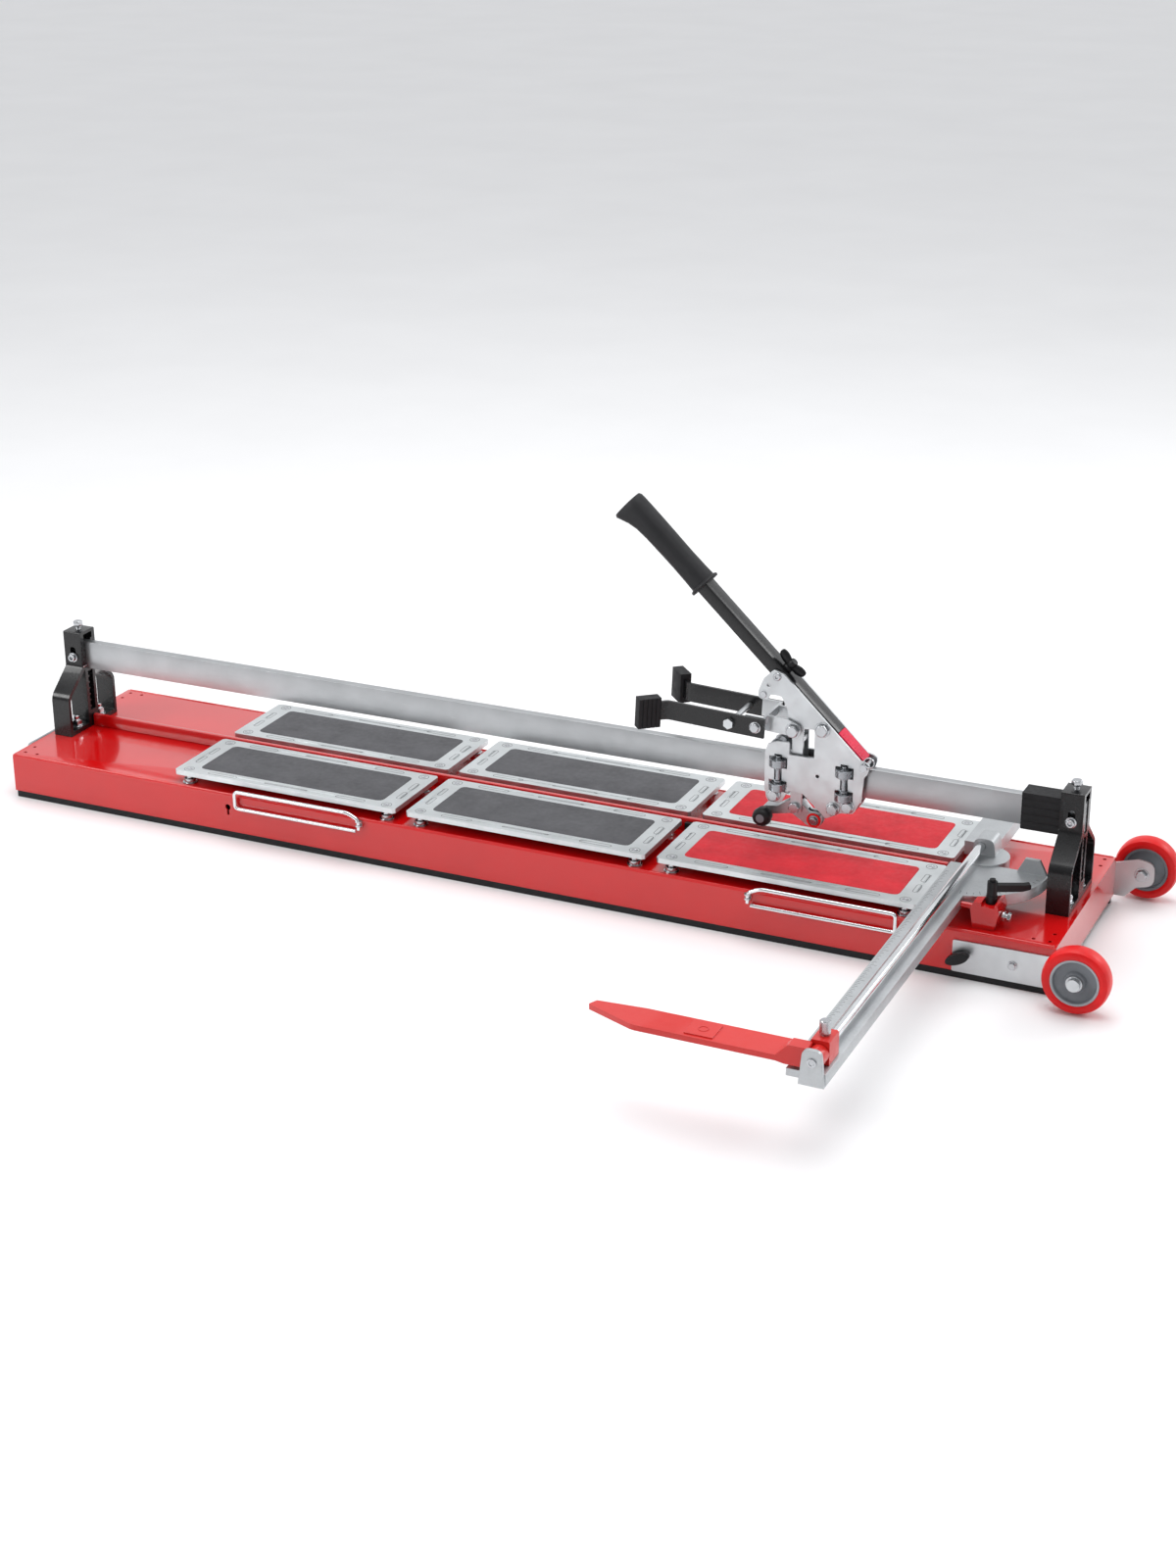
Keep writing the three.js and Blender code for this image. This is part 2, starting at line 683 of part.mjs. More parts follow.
// ---------------------------------------------------------------- breaker
// Drawn about the breaker pivot: -X runs out to the pads.
function addBreaker(carriage) {
  const breaker = addGroup(carriage, BREAKER_PIVOT.x, 0, BREAKER_PIVOT.z);
  breaker.rotation.y = BREAKER_TILT;
  addPiece(breaker, "breaker_bracket", breakerBracket(), ZINC);
  ["front", "rear"].forEach((row) => {
    const place = (solid) => (row === "front" ? solid.mirror([0, 1, 0]) : solid);
    addPiece(breaker, `breaker_arm_${row}`, place(breakerArm()), BLACK_PAINT);
    addPiece(breaker, `breaker_pad_${row}`, place(breakerPad()), RUBBER);
  });
  addPiece(breaker, "breaker_cross_pin", crossPin(), ZINC);
}

// Both sides of a shape that is drawn on the +Y side, between two distances from the middle plane.
function bothSides(shape, inner, outer) {
  const solid = prism("y", shape, inner, outer, 3);
  return [solid, solid.mirror([0, 1, 0])];
}

// Folded bracket: two lugs on the pivot bolt, a cross web, and wider flanges that the arms bolt to.
function breakerBracket() {
  const { endX, webX, nearX, bottom, webBottom, top, sheet } = BRACKET;
  const lugInner = PLATE.inner + PLATE.thickness + 1;
  const lugOuter = lugInner + sheet;
  const flangeOuter = ARM.inner - GAP;
  const lug = outline([
    [webX, -9],
    [-4, -10, 6],
    [11, -8, 9],
    [11, 9, 9],
    [-10, top, 4],
    [webX, top],
  ]);
  const body = join(
    ...bothSides(lug, lugInner, lugOuter),
    ...bothSides(rectangle(endX, bottom, nearX, top, 2), flangeOuter - sheet, flangeOuter),
    box(webX, -flangeOuter, webBottom, nearX, flangeOuter, top),
  );
  return cut(body, bar("y", 0, 0, -lugOuter - 1, lugOuter + 1, PIVOT_BOLT_RADIUS + GAP, 16));
}

// Flat arm on the +Y side whose outer end is bent outwards at 45 degrees.
function breakerArm() {
  const { inner, thickness, nearX, bendX, tip, pinX, halfHeight } = ARM;
  const outer = inner + thickness;
  const corner = thickness * Math.tan(Math.PI / 8);
  const across = thickness * Math.SQRT1_2;
  const plan = outline([
    [nearX, inner],
    [bendX - corner, inner, 10],
    [bendX - corner - tip, inner + tip],
    [bendX - corner - tip + across, inner + tip + across],
    [bendX, outer, 14],
    [nearX, outer],
  ]);
  const pinHole = bar("y", pinX, 0, 0, 80, PIVOT_BOLT_RADIUS + GAP, 14);
  return cut(prism("z", plan, -halfHeight, halfHeight, 5), pinHole);
}

// Ribbed rubber boot pushed over the bent end of the +Y arm; drawn along -X, then turned to the bend.
function breakerPad() {
  const { length, halfThick, bottom, top, ribs } = PAD;
  const pitch = length / ribs;
  const ribbed = Array.from({ length: ribs }, (_, i) => [
    [-length + i * pitch, halfThick],
    [-length + (i + 0.8) * pitch, halfThick],
    [-length + (i + 0.9) * pitch, halfThick - 1.2],
  ]).flat();
  const section = outline([...ribbed, [0, halfThick], [0, -halfThick, 1.5], [-length, -halfThick, 1.5]]);
  const sleeve = ARM.thickness / 2 + GAP;
  const socketHalf = ARM.halfHeight + GAP;
  const socket = box(-length + 4, -sleeve, -socketHalf, 1, sleeve, socketHalf);
  const boot = cut(prism("z", section, bottom, top, 2), socket);
  const tipMiddle = ARM.thickness * Math.SQRT1_2 * 0.5;
  const corner = ARM.thickness * Math.tan(Math.PI / 8);
  const tipX = ARM.bendX - corner - ARM.tip + tipMiddle;
  const tipY = ARM.inner + ARM.tip + tipMiddle;
  const insertion = (length - 5) * Math.SQRT1_2;
  return boot.rotate([0, 0, -45]).translate(tipX + insertion, tipY - insertion, 0);
}

// Bolt through both arms, with a hexagon head at each end.
function crossPin() {
  const armOuter = ARM.inner + ARM.thickness + GAP;
  const end = armOuter + BOLT.headHeight;
  const shank = bar("y", ARM.pinX, 0, -end, end, PIVOT_BOLT_RADIUS, 14);
  const heads = [
    bar("y", ARM.pinX, 0, armOuter, end, 8.5, 6),
    bar("y", ARM.pinX, 0, -end, -armOuter, 8.5, 6),
  ];
  return join(shank, ...heads);
}

// ---------------------------------------------------------------- scoring rocker
// Drawn about the rocker pivot, under the rail.
function addRocker(carriage) {
  const rocker = addGroup(carriage, ROCKER_PIVOT.x, 0, ROCKER_PIVOT.z);
  addPiece(rocker, "scoring_rocker", scoringRocker(), CAST_ALUMINIUM);
  const wheel = addPiece(rocker, "scoring_wheel", scoringWheel(), STEEL);
  wheel.position.set(ROCKER.wheelX, 0, ROCKER.wheelZ);
  const knob = addPiece(rocker, "rocker_knob", rockerKnob(), BLACK_PLASTIC);
  knob.position.set(ROCKER.knobX, 0, ROCKER.knobZ);
}

function scoringRocker() {
  const { halfWidth, wheelX, wheelZ } = ROCKER;
  const body = prism("y", outline([
    [-54, -24, 5],
    [-54, -7, 5],
    [-30, -4, 6],
    [-8, 10, 5],
    [8, 10, 5],
    [22, -6, 4],
    [42, -6, 9],
    [42, -28, 9],
    [20, -28, 8],
    [-6, -12, 8],
    [-34, -18, 6],
  ]), -halfWidth, halfWidth, 3);
  return cut(
    body,
    box(wheelX - 15, -3.5, wheelZ - 16, wheelX + 15, 3.5, wheelZ + 15),
    bar("y", wheelX, wheelZ, -halfWidth - 1, halfWidth + 1, 3.3, 12),
    bar("y", 0, 0, -halfWidth - 1, halfWidth + 1, 4.3, 14),
  );
}

// Carbide scoring wheel on its pin, with a round head at each end.
function scoringWheel() {
  const cheek = ROCKER.halfWidth + GAP;
  const reach = 15;
  return turned("y", [
    [0, -reach],
    [8, -reach],
    [8, -cheek],
    [3, -cheek],
    [3, -2.6],
    [9, -2.6],
    [13, 0],
    [9, 2.6],
    [3, 2.6],
    [3, cheek],
    [8, cheek],
    [8, reach],
    [0, reach],
  ], 14);
}

// Faceted hand knob on a short stem.
function rockerKnob() {
  return turned("y", [
    [0, -44],
    [11, -44],
    [15, -40],
    [15.5, -28],
    [12, -23],
    [4.5, -22.5],
    [4.5, -ROCKER.halfWidth - GAP],
    [0, -ROCKER.halfWidth - GAP],
  ], 10);
}

// ---------------------------------------------------------------- fence
// Drawn about the fence pivot: -Y runs out in front of the bed.
function addFence(root) {
  const fence = addGroup(root, FENCE_PIVOT.x, FENCE_PIVOT.y, 0);
  const post = bar("z", 0, 0, BED.top + GAP, FENCE.bottom - GAP, 14, 24);
  addPiece(fence, "fence_pivot_post", post, ZINC);
  addPiece(fence, "fence_casting", fenceCasting(), CAST_ALUMINIUM);
  const rod = bar("y", ROD.x, ROD.z, FENCE.endY + GAP, ROD.farY, ROD.radius, 20);
  addPiece(fence, "fence_rod", rod, CHROME);
  addPiece(fence, "fence_end_plate", fenceEndPlate(), CAST_ALUMINIUM);
  addPiece(fence, "fence_clamp_block", clampBlock(), RED_PAINT);
  addPiece(fence, "fence_clamp_lever", clampLever(), BLACK_PLASTIC);
  addPiece(fence, "stop_slider", stopSlider(), RED_PAINT);
  addPiece(fence, "slider_screw", sliderScrew(), ZINC);
  addPiece(fence, "stop_arm", stopArm(), RED_PAINT);
}

// One casting: the front arm with its scale ledge, the protractor quarter, the rear bar and the rod boss.
function fenceCasting() {
  const { left, step, body, right, bottom, top, endY } = FENCE;
  const arm = prism("y", outline([
    [left, bottom + 5],
    [body, bottom + 5],
    [body, bottom],
    [right, bottom],
    [right, top, 1],
    [step, top],
    [step, top - 1.5],
    [left, top - 1.5],
  ]), endY, -4, 2);
  const rearBar = box(-31, 64, bottom, 19, 200, top + 5);
  const neck = box(-5, -5, bottom, right, 65, top);
  const disc = bar("z", 11, 28, bottom, top + 3, 38, 28);
  const lug = prism("y", outline([
    [69, top - 1],
    [PROTRACTOR_RADIUS - 2, top - 1],
    [103, 141, 2],
    [81, 141, 2],
  ]), -3, 3, 2);
  const solid = join(arm, rearBar, neck, cut(disc, box(-40, -20, 0, -5, 80, 200)), quadrant(), lug, rodBoss());
  return cut(solid, bar("y", ROD.x, ROD.z, 20, ROD.farY + GAP, ROD.radius + GAP, 20));
}

// Quarter of a disc between the front arm and the square position.
function quadrant() {
  const shape = new THREE.Shape();
  shape.moveTo(0, 3);
  shape.lineTo(0, -PROTRACTOR_RADIUS);
  shape.absarc(0, 0, PROTRACTOR_RADIUS, -Math.PI / 2, 0);
  shape.lineTo(PROTRACTOR_RADIUS, 3);
  return prism("z", shape, FENCE.bottom, FENCE.top, 14);
}

// Arched boss that holds the far end of the rod.
function rodBoss() {
  const arch = outline([
    [-8, FENCE.top - 1],
    [28, FENCE.top - 1],
    [24, 147, 12],
    [-6, 147, 12],
  ]);
  return prism("y", arch, 28, 64, 5);
}

// Plate at the outer end of the arm that holds the near end of the rod.
function fenceEndPlate() {
  const { body, right, bottom, endY } = FENCE;
  return prism("y", outline([
    [body, bottom],
    [right, bottom],
    [17, 152, 10],
    [-8, 152, 10],
  ]), endY - 8, endY - GAP, 5);
}

// Block fixed to the bed: it passes under the protractor rim and rises outside it to carry the clamp
// lever, and its pin is the square stop that the front arm rests against.
function clampBlock() {
  const foot = BED.top + GAP;
  const body = prism("y", outline([
    [42, foot],
    [74, foot],
    [80, 104],
    [77, FENCE.top],
    [73, FENCE.top],
    [73, CLAMP.seat],
    [53, CLAMP.seat],
    [53, FENCE.top],
    [42, FENCE.top],
    [37, 106],
  ]), -130, -84, 2);
  const rim = bar("z", 0, 0, FENCE.bottom - GAP, FENCE.top + 5, PROTRACTOR_RADIUS + 0.6, 40);
  const pin = bar("x", -124, 108, FENCE.right + GAP, 46, 4.5, 12);
  return join(cut(body, rim), pin);
}

// Ratchet lever on the clamp block.
function clampLever() {
  const { x, y, seat } = CLAMP;
  const hub = join(
    bar("z", x, y, seat + GAP, 124, 8.5, 14),
    bar("z", x, y, 123, 146, 7.5, 14),
    bar("z", x, y, 145, 150, 4.5, 12),
  );
  const handle = prism("y", outline([
    [0, 131],
    [44, 130, 3],
    [56, 133, 3],
    [56, 141, 3],
    [46, 140, 2],
    [0, 142],
  ]), -5, 5, 3);
  return join(hub, handle.rotate([0, 0, 29]).translate(x, y, 0));
}

// Block that slides along the rod, just above the arm.
function stopSlider() {
  const { left, right, nearY, farY, top } = SLIDER;
  const block = prism("y", outline([
    [left, FENCE.top + 0.5],
    [right, FENCE.top + 0.5],
    [right, top, 3],
    [left, top, 3],
  ]), nearY, farY, 2);
  return cut(block, bar("y", ROD.x, ROD.z, nearY - 1, farY + 1, ROD.radius + GAP, 20));
}

function sliderScrew() {
  const base = SLIDER.top + GAP;
  const middleY = (SLIDER.nearY + SLIDER.farY) / 2;
  return turned("z", [
    [0, base],
    [5, base],
    [5, base + 2.5],
    [7.5, base + 3.5],
    [7.5, base + 19],
    [6, base + 21],
    [0, base + 21],
  ], 12).translate(ROD.x, middleY, 0);
}

// Long stop that the tile edge is set against: a blade, a leg and a ring that turns on the rod.
function stopArm() {
  const { tipX, rootX, nearY, farY, bottom, top } = STOP_ARM;
  const hubFarY = SLIDER.nearY - 0.5;
  const blade = prism("z", outline([
    [tipX, nearY + 30, 2],
    [tipX + 6, farY - 6, 2],
    [tipX + 75, farY, 20],
    [rootX + 8, farY, 3],
    [rootX + 8, nearY, 2],
    [tipX + 75, nearY, 30],
  ]), bottom, top, 4);
  const leg = prism("y", outline([
    [rootX - 12, bottom],
    [rootX, bottom - 2],
    [ROD.x - 9, bottom - 2],
    [ROD.x - 9, 149, 2],
    [rootX + 5, 149, 3],
    [rootX - 12, top],
  ]), nearY, hubFarY, 3);
  const ring = bar("y", ROD.x, ROD.z, nearY, hubFarY, 13, 20);
  const pad = box(-175, nearY + 6, top - 1, -135, farY - 8, top + 1.5);
  const bore = bar("y", ROD.x, ROD.z, nearY - 1, hubFarY + 1, ROD.radius + GAP, 20);
  return cut(join(blade, leg, ring, pad), bore);
}

// ---------------------------------------------------------------- transport wheels
function tyre() {
  const { radius, width, hubRadius } = WHEEL;
  const half = width / 2;
  const section = [
    [hubRadius + GAP, -half + 2],
    [44, -half],
    [radius - 2, -half + 4],
    [radius, -half + 9],
    [radius, half - 9],
    [radius - 2, half - 4],
    [44, half],
    [hubRadius + GAP, half - 2],
    [hubRadius + GAP, -half + 2],
  ];
  return turned("y", section, 28);
}

function hub() {
  const half = WHEEL.width / 2;
  return turned("y", [
    [6.3, -half + 1],
    [14, -half + 1],
    [15, -half + 6],
    [31, -half + 6],
    [33, -half + 3],
    [WHEEL.hubRadius, -half + 3],
    [WHEEL.hubRadius, half - 3],
    [33, half - 3],
    [31, half - 6],
    [15, half - 6],
    [14, half - 1],
    [6.3, half - 1],
    [6.3, -half + 1],
  ], 20);
}

// Plate bolted to the bed wall, reaching past its end to the wheel axle; the axle is part of it.
function wheelBracket(side) {
  const wall = BED.width / 2 + GAP;
  const hubNear = WHEEL.y - WHEEL.width / 2 - 0.5;
  const hubFar = WHEEL.y + WHEEL.width / 2;
  const plate = prism("y", outline([
    [755, 12, 3],
    [922, 12, 4],
    [940, 30, 8],
    [966, 36, 16],
    [966, 74, 16],
    [940, 77, 10],
    [895, 63, 8],
    [755, 62, 3],
  ]), wall, wall + 3, 4);
  const bracket = join(
    plate,
    bar("y", WHEEL.x, WHEEL.z, wall + 2, hubNear, 10, 16),
    bar("y", WHEEL.x, WHEEL.z, wall + 2, hubFar + 7, 6, 16),
    bar("y", WHEEL.x, WHEEL.z, hubFar, hubFar + 7, 9.5, 12),
  );
  return side > 0 ? bracket : bracket.mirror([0, 1, 0]);
}

function addWheels(root) {
  ["front", "rear"].forEach((row) => {
    const side = row === "front" ? -1 : 1;
    addPiece(root, `wheel_bracket_${row}`, wheelBracket(side), ZINC);
    const wheel = addGroup(root, WHEEL.x, side * WHEEL.y, WHEEL.z);
    addPiece(wheel, `wheel_tyre_${row}`, tyre(), RED_TYRE);
    addPiece(wheel, `wheel_hub_${row}`, hub(), GREY_HUB);
  });
}

// ---------------------------------------------------------------- wire supports and handle
// Wire loop that lies along the front wall and swings out on its upright end; drawn about that end.
function supportWire() {
  const [low, high, reach] = [57, 86, 231];
  return wire([
    [-5, 0, low],
    [-reach, 0, low],
    [-reach, 0, high],
    [-20, 0, high],
    [0, 0, 77],
    [0, 0, 60],
  ], 7, 3);
}

// Bar handle across the left end of the bed.
function endHandle() {
  const wall = -BED.length / 2 - GAP;
  const [reach, halfSpan, z] = [wall - 11, 115, 69];
  return wire([
    [wall, -halfSpan, z],
    [reach, -halfSpan, z],
    [reach, halfSpan, z],
    [wall, halfSpan, z],
  ], 6, 4);
}

function addHandles(root) {
  const wireY = -BED.width / 2 - 6;
  const left = addPiece(root, "support_wire_left", supportWire(), CHROME);
  left.position.set(SUPPORT_PIVOT_X.left, wireY, 0);
  const right = addPiece(root, "support_wire_right", supportWire().mirror([1, 0, 0]), CHROME);
  right.position.set(SUPPORT_PIVOT_X.right, wireY, 0);
  addPiece(root, "carry_handle", endHandle(), STEEL);
}

// ---------------------------------------------------------------- assembly
const cutter = new THREE.Group();
addBed(cutter);
addRail(cutter);
addTables(cutter);
addCarriage(cutter);
addFence(cutter);
addWheels(cutter);
addHandles(cutter);

export default cutter;
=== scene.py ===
"""Looks for the tile cutter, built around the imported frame. Metres, +Z up."""

import json
import math

import bmesh
import bpy
from mathutils import Matrix, Vector


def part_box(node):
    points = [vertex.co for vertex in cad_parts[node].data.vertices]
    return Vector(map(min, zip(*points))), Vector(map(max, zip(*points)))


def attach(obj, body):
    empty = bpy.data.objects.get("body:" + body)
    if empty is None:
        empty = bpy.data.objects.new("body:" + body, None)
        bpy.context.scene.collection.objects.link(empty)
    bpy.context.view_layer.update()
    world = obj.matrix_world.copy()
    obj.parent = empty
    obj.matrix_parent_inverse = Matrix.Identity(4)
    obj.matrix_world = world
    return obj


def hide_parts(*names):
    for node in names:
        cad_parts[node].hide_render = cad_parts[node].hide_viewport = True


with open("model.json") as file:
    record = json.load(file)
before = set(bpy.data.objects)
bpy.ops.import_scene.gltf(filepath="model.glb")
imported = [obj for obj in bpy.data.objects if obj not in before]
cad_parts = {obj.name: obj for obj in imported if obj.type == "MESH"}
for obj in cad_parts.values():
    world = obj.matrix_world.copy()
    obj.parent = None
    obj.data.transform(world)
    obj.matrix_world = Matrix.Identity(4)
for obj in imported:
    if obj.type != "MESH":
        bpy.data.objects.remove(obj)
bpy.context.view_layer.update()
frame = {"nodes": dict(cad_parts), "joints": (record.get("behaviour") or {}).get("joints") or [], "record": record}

MM = 0.001
X, Y, Z = Vector((1, 0, 0)), Vector((0, 1, 0)), Vector((0, 0, 1))
JOINTS = {joint["name"]: joint for joint in frame["joints"]}
BODY_OF = {node: body for body, nodes in frame["record"]["behaviour"]["bodies"].items() for node in nodes}
TABLES = sorted(node for node in frame["nodes"] if node.startswith("table_"))

LEVER_ANGLE = math.radians(43.4)
BREAKER_ANGLE = math.radians(2.6)
HEX_RADIUS = 9.6 * MM  # M10 hexagon head, across its corners
HEX_HEIGHT = 6.2 * MM
WASHER = 1.4 * MM
TYRE_DEPTH = 14  # millimetres, like the wheel profiles

# Fittings with no CAD node of their own, where they are at rest.
BRACKET_FACE = 3.1 * MM  # a wheel bracket's outer face, from its inner one
BRACKET_SCREW_X, BRACKET_KNOB_X, BRACKET_FITTINGS_Z = 845 * MM, 766 * MM, 38 * MM
SIDE_BEARINGS_Z = (186 * MM, 225 * MM)
LOWER_ROLLERS = ("lower_roller_left", "lower_roller_right")
ROLLER_WIDTH, AXLE_RADIUS = 14 * MM, 4 * MM
PLATE_BOLT = (511 * MM, 163 * MM)  # x and z, as in the next three
HOLLOW_RIVET = (416 * MM, 363 * MM)
FLAT_RIVET = (394.3 * MM, 331 * MM)
RING_PIN = (557.8 * MM, 238.3 * MM)
GRIP_START, GRIP_END, GRIP_AXIS_Z = -281 * MM, -452 * MM, 4.7 * MM  # in the lever's own frame
WING_KNOB = (-105 * MM, 0, 15 * MM)  # in the lever's own frame
ARM_BOLT = (-54 * MM, 45 * MM, 1 * MM)  # in the breaker's own frame
POST_CHEEK, POST_CLAMP_Z = 20.5 * MM, 205.6 * MM
POST_FOOT_BOLT, POST_FOOT_TOP = 33 * MM, 84.6 * MM
MAT_MARGIN = (35.3 * MM, 22.3 * MM)  # from a table's edges, in x and y
SCREW_INSET = (21 * MM, 13 * MM)
LEDGE_TOP, QUADRANT_TOP = 116.5 * MM, 118 * MM
ARM_BOSS_X, ARM_PAD_TOP = 580 * MM, 132.5 * MM

COLOUR_A, COLOUR_B, COLOUR_RESULT = 6, 7, 2  # sockets of a Mix node in colour mode


def pivot(joint):
    return Vector(JOINTS[joint]["pos_m"])


# ------------------------------------------------------------------ materials
def linear(red, green, blue):
    """A colour given as 0 to 255 display values, as linear light."""
    return tuple(((c / 255 + 0.055) / 1.055) ** 2.4 for c in (red, green, blue)) + (1.0,)


class Nodes:
    """A material's node tree, with short calls for the nodes that every finish uses."""

    def __init__(self, name):
        self.material = bpy.data.materials.new(name)
        self.material.use_nodes = True
        self.tree = self.material.node_tree
        self.shader = self.tree.nodes["Principled BSDF"]
        self.place = self.add("ShaderNodeTexCoord").outputs["Object"]

    def add(self, kind, **settings):
        node = self.tree.nodes.new(kind)
        for key, value in settings.items():
            setattr(node, key, value)
        return node

    def link(self, source, target):
        self.tree.links.new(source, target)

    def noise(self, scale, stretch=(1, 1, 1), detail=4.0, roughness=0.55):
        mapping = self.add("ShaderNodeMapping")
        mapping.inputs["Scale"].default_value = stretch
        texture = self.add("ShaderNodeTexNoise")
        texture.inputs["Scale"].default_value = scale
        texture.inputs["Detail"].default_value = detail
        texture.inputs["Roughness"].default_value = roughness
        self.link(self.place, mapping.inputs["Vector"])
        self.link(mapping.outputs["Vector"], texture.inputs["Vector"])
        return texture.outputs["Fac"]

    def remap(self, value, low, high, from_low=0.3, from_high=0.7):
        node = self.add("ShaderNodeMapRange")
        limits = {"From Min": from_low, "From Max": from_high, "To Min": low, "To Max": high}
        for name, number in limits.items():
            node.inputs[name].default_value = number
        self.link(value, node.inputs["Value"])
        return node.outputs["Result"]

    def mix(self, factor, first, second):
        node = self.add("ShaderNodeMix", data_type="RGBA")
        node.inputs[COLOUR_A].default_value = first
        node.inputs[COLOUR_B].default_value = second
        self.link(factor, node.inputs[0])
        return node.outputs[COLOUR_RESULT]

    def colour(self, factor, first, second):
        self.link(self.mix(factor, first, second), self.shader.inputs["Base Color"])

    def surface(self, height, strength, distance, edge=0.0):
        """Bump from a height, over edges that are rounded by the given radius."""
        bump = self.add("ShaderNodeBump")
        bump.inputs["Strength"].default_value = strength
        bump.inputs["Distance"].default_value = distance
        if edge > 0:
            rounding = self.add("ShaderNodeBevel", samples=4)
            rounding.inputs["Radius"].default_value = edge
            self.link(rounding.outputs["Normal"], bump.inputs["Normal"])
        self.link(height, bump.inputs["Height"])
        self.link(bump.outputs["Normal"], self.shader.inputs["Normal"])

    def constants(self, **values):
        for key, value in values.items():
            self.shader.inputs[key.replace("_", " ")].default_value = value


def shade(colour, amount):
    return tuple(min(1.0, c * amount) for c in colour[:3]) + (1.0,)


def painted(name, colour, roughness, coat, texture=0.06, edge=0.9 * MM, shine=0.5):
    """Powder coat: a faint orange peel, cloudy gloss and slightly darker, duller patches."""
    n = Nodes(name)
    clouds = n.noise(7, detail=3)
    n.colour(n.remap(clouds, 0, 1), shade(colour, 0.93), shade(colour, 1.04))
    scuffs = n.noise(60, detail=6, roughness=0.7)
    n.link(n.remap(scuffs, roughness * 0.85, roughness * 1.3), n.shader.inputs["Roughness"])
    n.surface(n.noise(420, detail=2), texture, 0.4 * MM, edge)
    n.constants(Metallic=0.0, Coat_Weight=coat, Coat_Roughness=0.05, Specular_IOR_Level=shine)
    return n.material


def metal(name, colour, roughness, stretch=(1, 1, 1), scale=90, strength=0.05, edge=0.6 * MM):
    """Plated, drawn or cast metal: the stretch of the noise gives the direction of its grain."""
    n = Nodes(name)
    grain = n.noise(scale, stretch, detail=6, roughness=0.6)
    n.colour(n.remap(n.noise(16, detail=3), 0, 1), shade(colour, 0.9), shade(colour, 1.05))
    n.link(n.remap(grain, roughness * 0.8, roughness * 1.35), n.shader.inputs["Roughness"])
    n.surface(grain, strength, 0.3 * MM, edge)
    n.constants(Metallic=1.0)
    return n.material


def moulded(name, colour, roughness, scale=700, strength=0.12, edge=0.5 * MM, shine=0.3):
    """Moulded plastic or rubber with a fine pebbled skin."""
    n = Nodes(name)
    n.colour(n.remap(n.noise(25, detail=4), 0, 1), shade(colour, 0.85), shade(colour, 1.15))
    blotches = n.noise(110, detail=5)
    n.link(n.remap(blotches, roughness * 0.85, roughness * 1.15), n.shader.inputs["Roughness"])
    n.surface(n.noise(scale, detail=3), strength, 0.35 * MM, edge)
    n.constants(Metallic=0.0, Specular_IOR_Level=shine)
    return n.material


RED_PAINT = painted("red powder coat", linear(200, 12, 14), 0.16, 0.7, texture=0.012, shine=0.4)
ARM_PAINT = painted("red arm paint", linear(206, 34, 28), 0.34, 0.25, texture=0.05, shine=0.45)
BLACK_PAINT = painted("black powder coat", linear(14, 14, 16), 0.26, 0.2, texture=0.03, shine=0.4)
BLACK_PLASTIC = moulded("black plastic", linear(17, 17, 19), 0.4)
RUBBER = moulded("black rubber", linear(28, 28, 30), 0.62, scale=520, strength=0.2)
GRIP_RUBBER = moulded("grip rubber", linear(36, 36, 38), 0.55, scale=900, strength=0.3)
MAT_GREY = moulded("grey mat", linear(84, 84, 87), 0.75, scale=1100, strength=0.25, edge=0.4 * MM)
MAT_RED = moulded("red mat", linear(196, 40, 50), 0.7, scale=1100, strength=0.25, edge=0.4 * MM)
RAIL_STEEL = metal("drawn rail steel", linear(182, 184, 186), 0.34, (0.4, 22, 22), 60, 0.05)
ZINC = metal("zinc plate", linear(204, 207, 209), 0.34, scale=55, strength=0.04)
TABLE_ZINC = metal("table plate", linear(212, 216, 217), 0.38, (0.6, 5, 5), 70, 0.04)
BOLT_ZINC = metal("bolt zinc", linear(190, 192, 195), 0.2, scale=120, strength=0.06, edge=0.4 * MM)
CHROME = metal("chrome", linear(228, 230, 232), 0.1, (8, 1, 8), 30, 0.01)
CAST = metal("cast aluminium", linear(190, 193, 195), 0.42, scale=260, strength=0.14, edge=1.0 * MM)
BEARING_STEEL = metal("bearing steel", linear(156, 159, 163), 0.24, scale=90, strength=0.03, edge=0.4 * MM)
TYRE_RED = moulded("red tyre", linear(218, 20, 22), 0.36, scale=350, strength=0.06)
HUB_GREY = moulded("grey hub", linear(118, 121, 126), 0.5, scale=500, strength=0.15)
HUB_RING = moulded("grey hub ring", linear(160, 163, 168), 0.45)
# Darker grey that paints the shade inside the tables' pressed slots and round their corner screws.
GROOVE_SHADE = metal("painted groove shade", linear(150, 152, 154), 0.5)
CAP_RED = moulded("red cap", linear(214, 28, 66), 0.42, scale=500, strength=0.1)
INK = moulded("scale ink", linear(50, 50, 52), 0.6)


# ------------------------------------------------------------------ mesh tools
def towards(centre, axis=Z, turn=0.0):
    """The matrix that takes +Z at the origin to an axis at a centre, turned about that axis."""
    rotation = Z.rotation_difference(Vector(axis).normalized()).to_matrix().to_4x4()
    return Matrix.Translation(centre) @ rotation @ Matrix.Rotation(turn, 4, "Z")


def in_mm(points):
    """A profile that is written in millimetres."""
    return [(first * MM, second * MM) for first, second in points]


def add_circle(bm, radius, height, place, steps):
    return [bm.verts.new(place @ Vector((x, y, height))) for x, y in polygon(steps, radius)]


def add_skin(bm, rings, closed=False, ends=False):
    """Faces between rings of equal length. Closed joins the last ring to the first; ends caps both."""
    following = rings[1:] + (rings[:1] if closed else [])
    for low, high in zip(rings, following):
        for i in range(len(low)):
            j = (i + 1) % len(low)
            bm.faces.new((low[i], low[j], high[j], high[i]))
    if ends:
        bm.faces.new(rings[0][::-1])
        bm.faces.new(rings[-1])


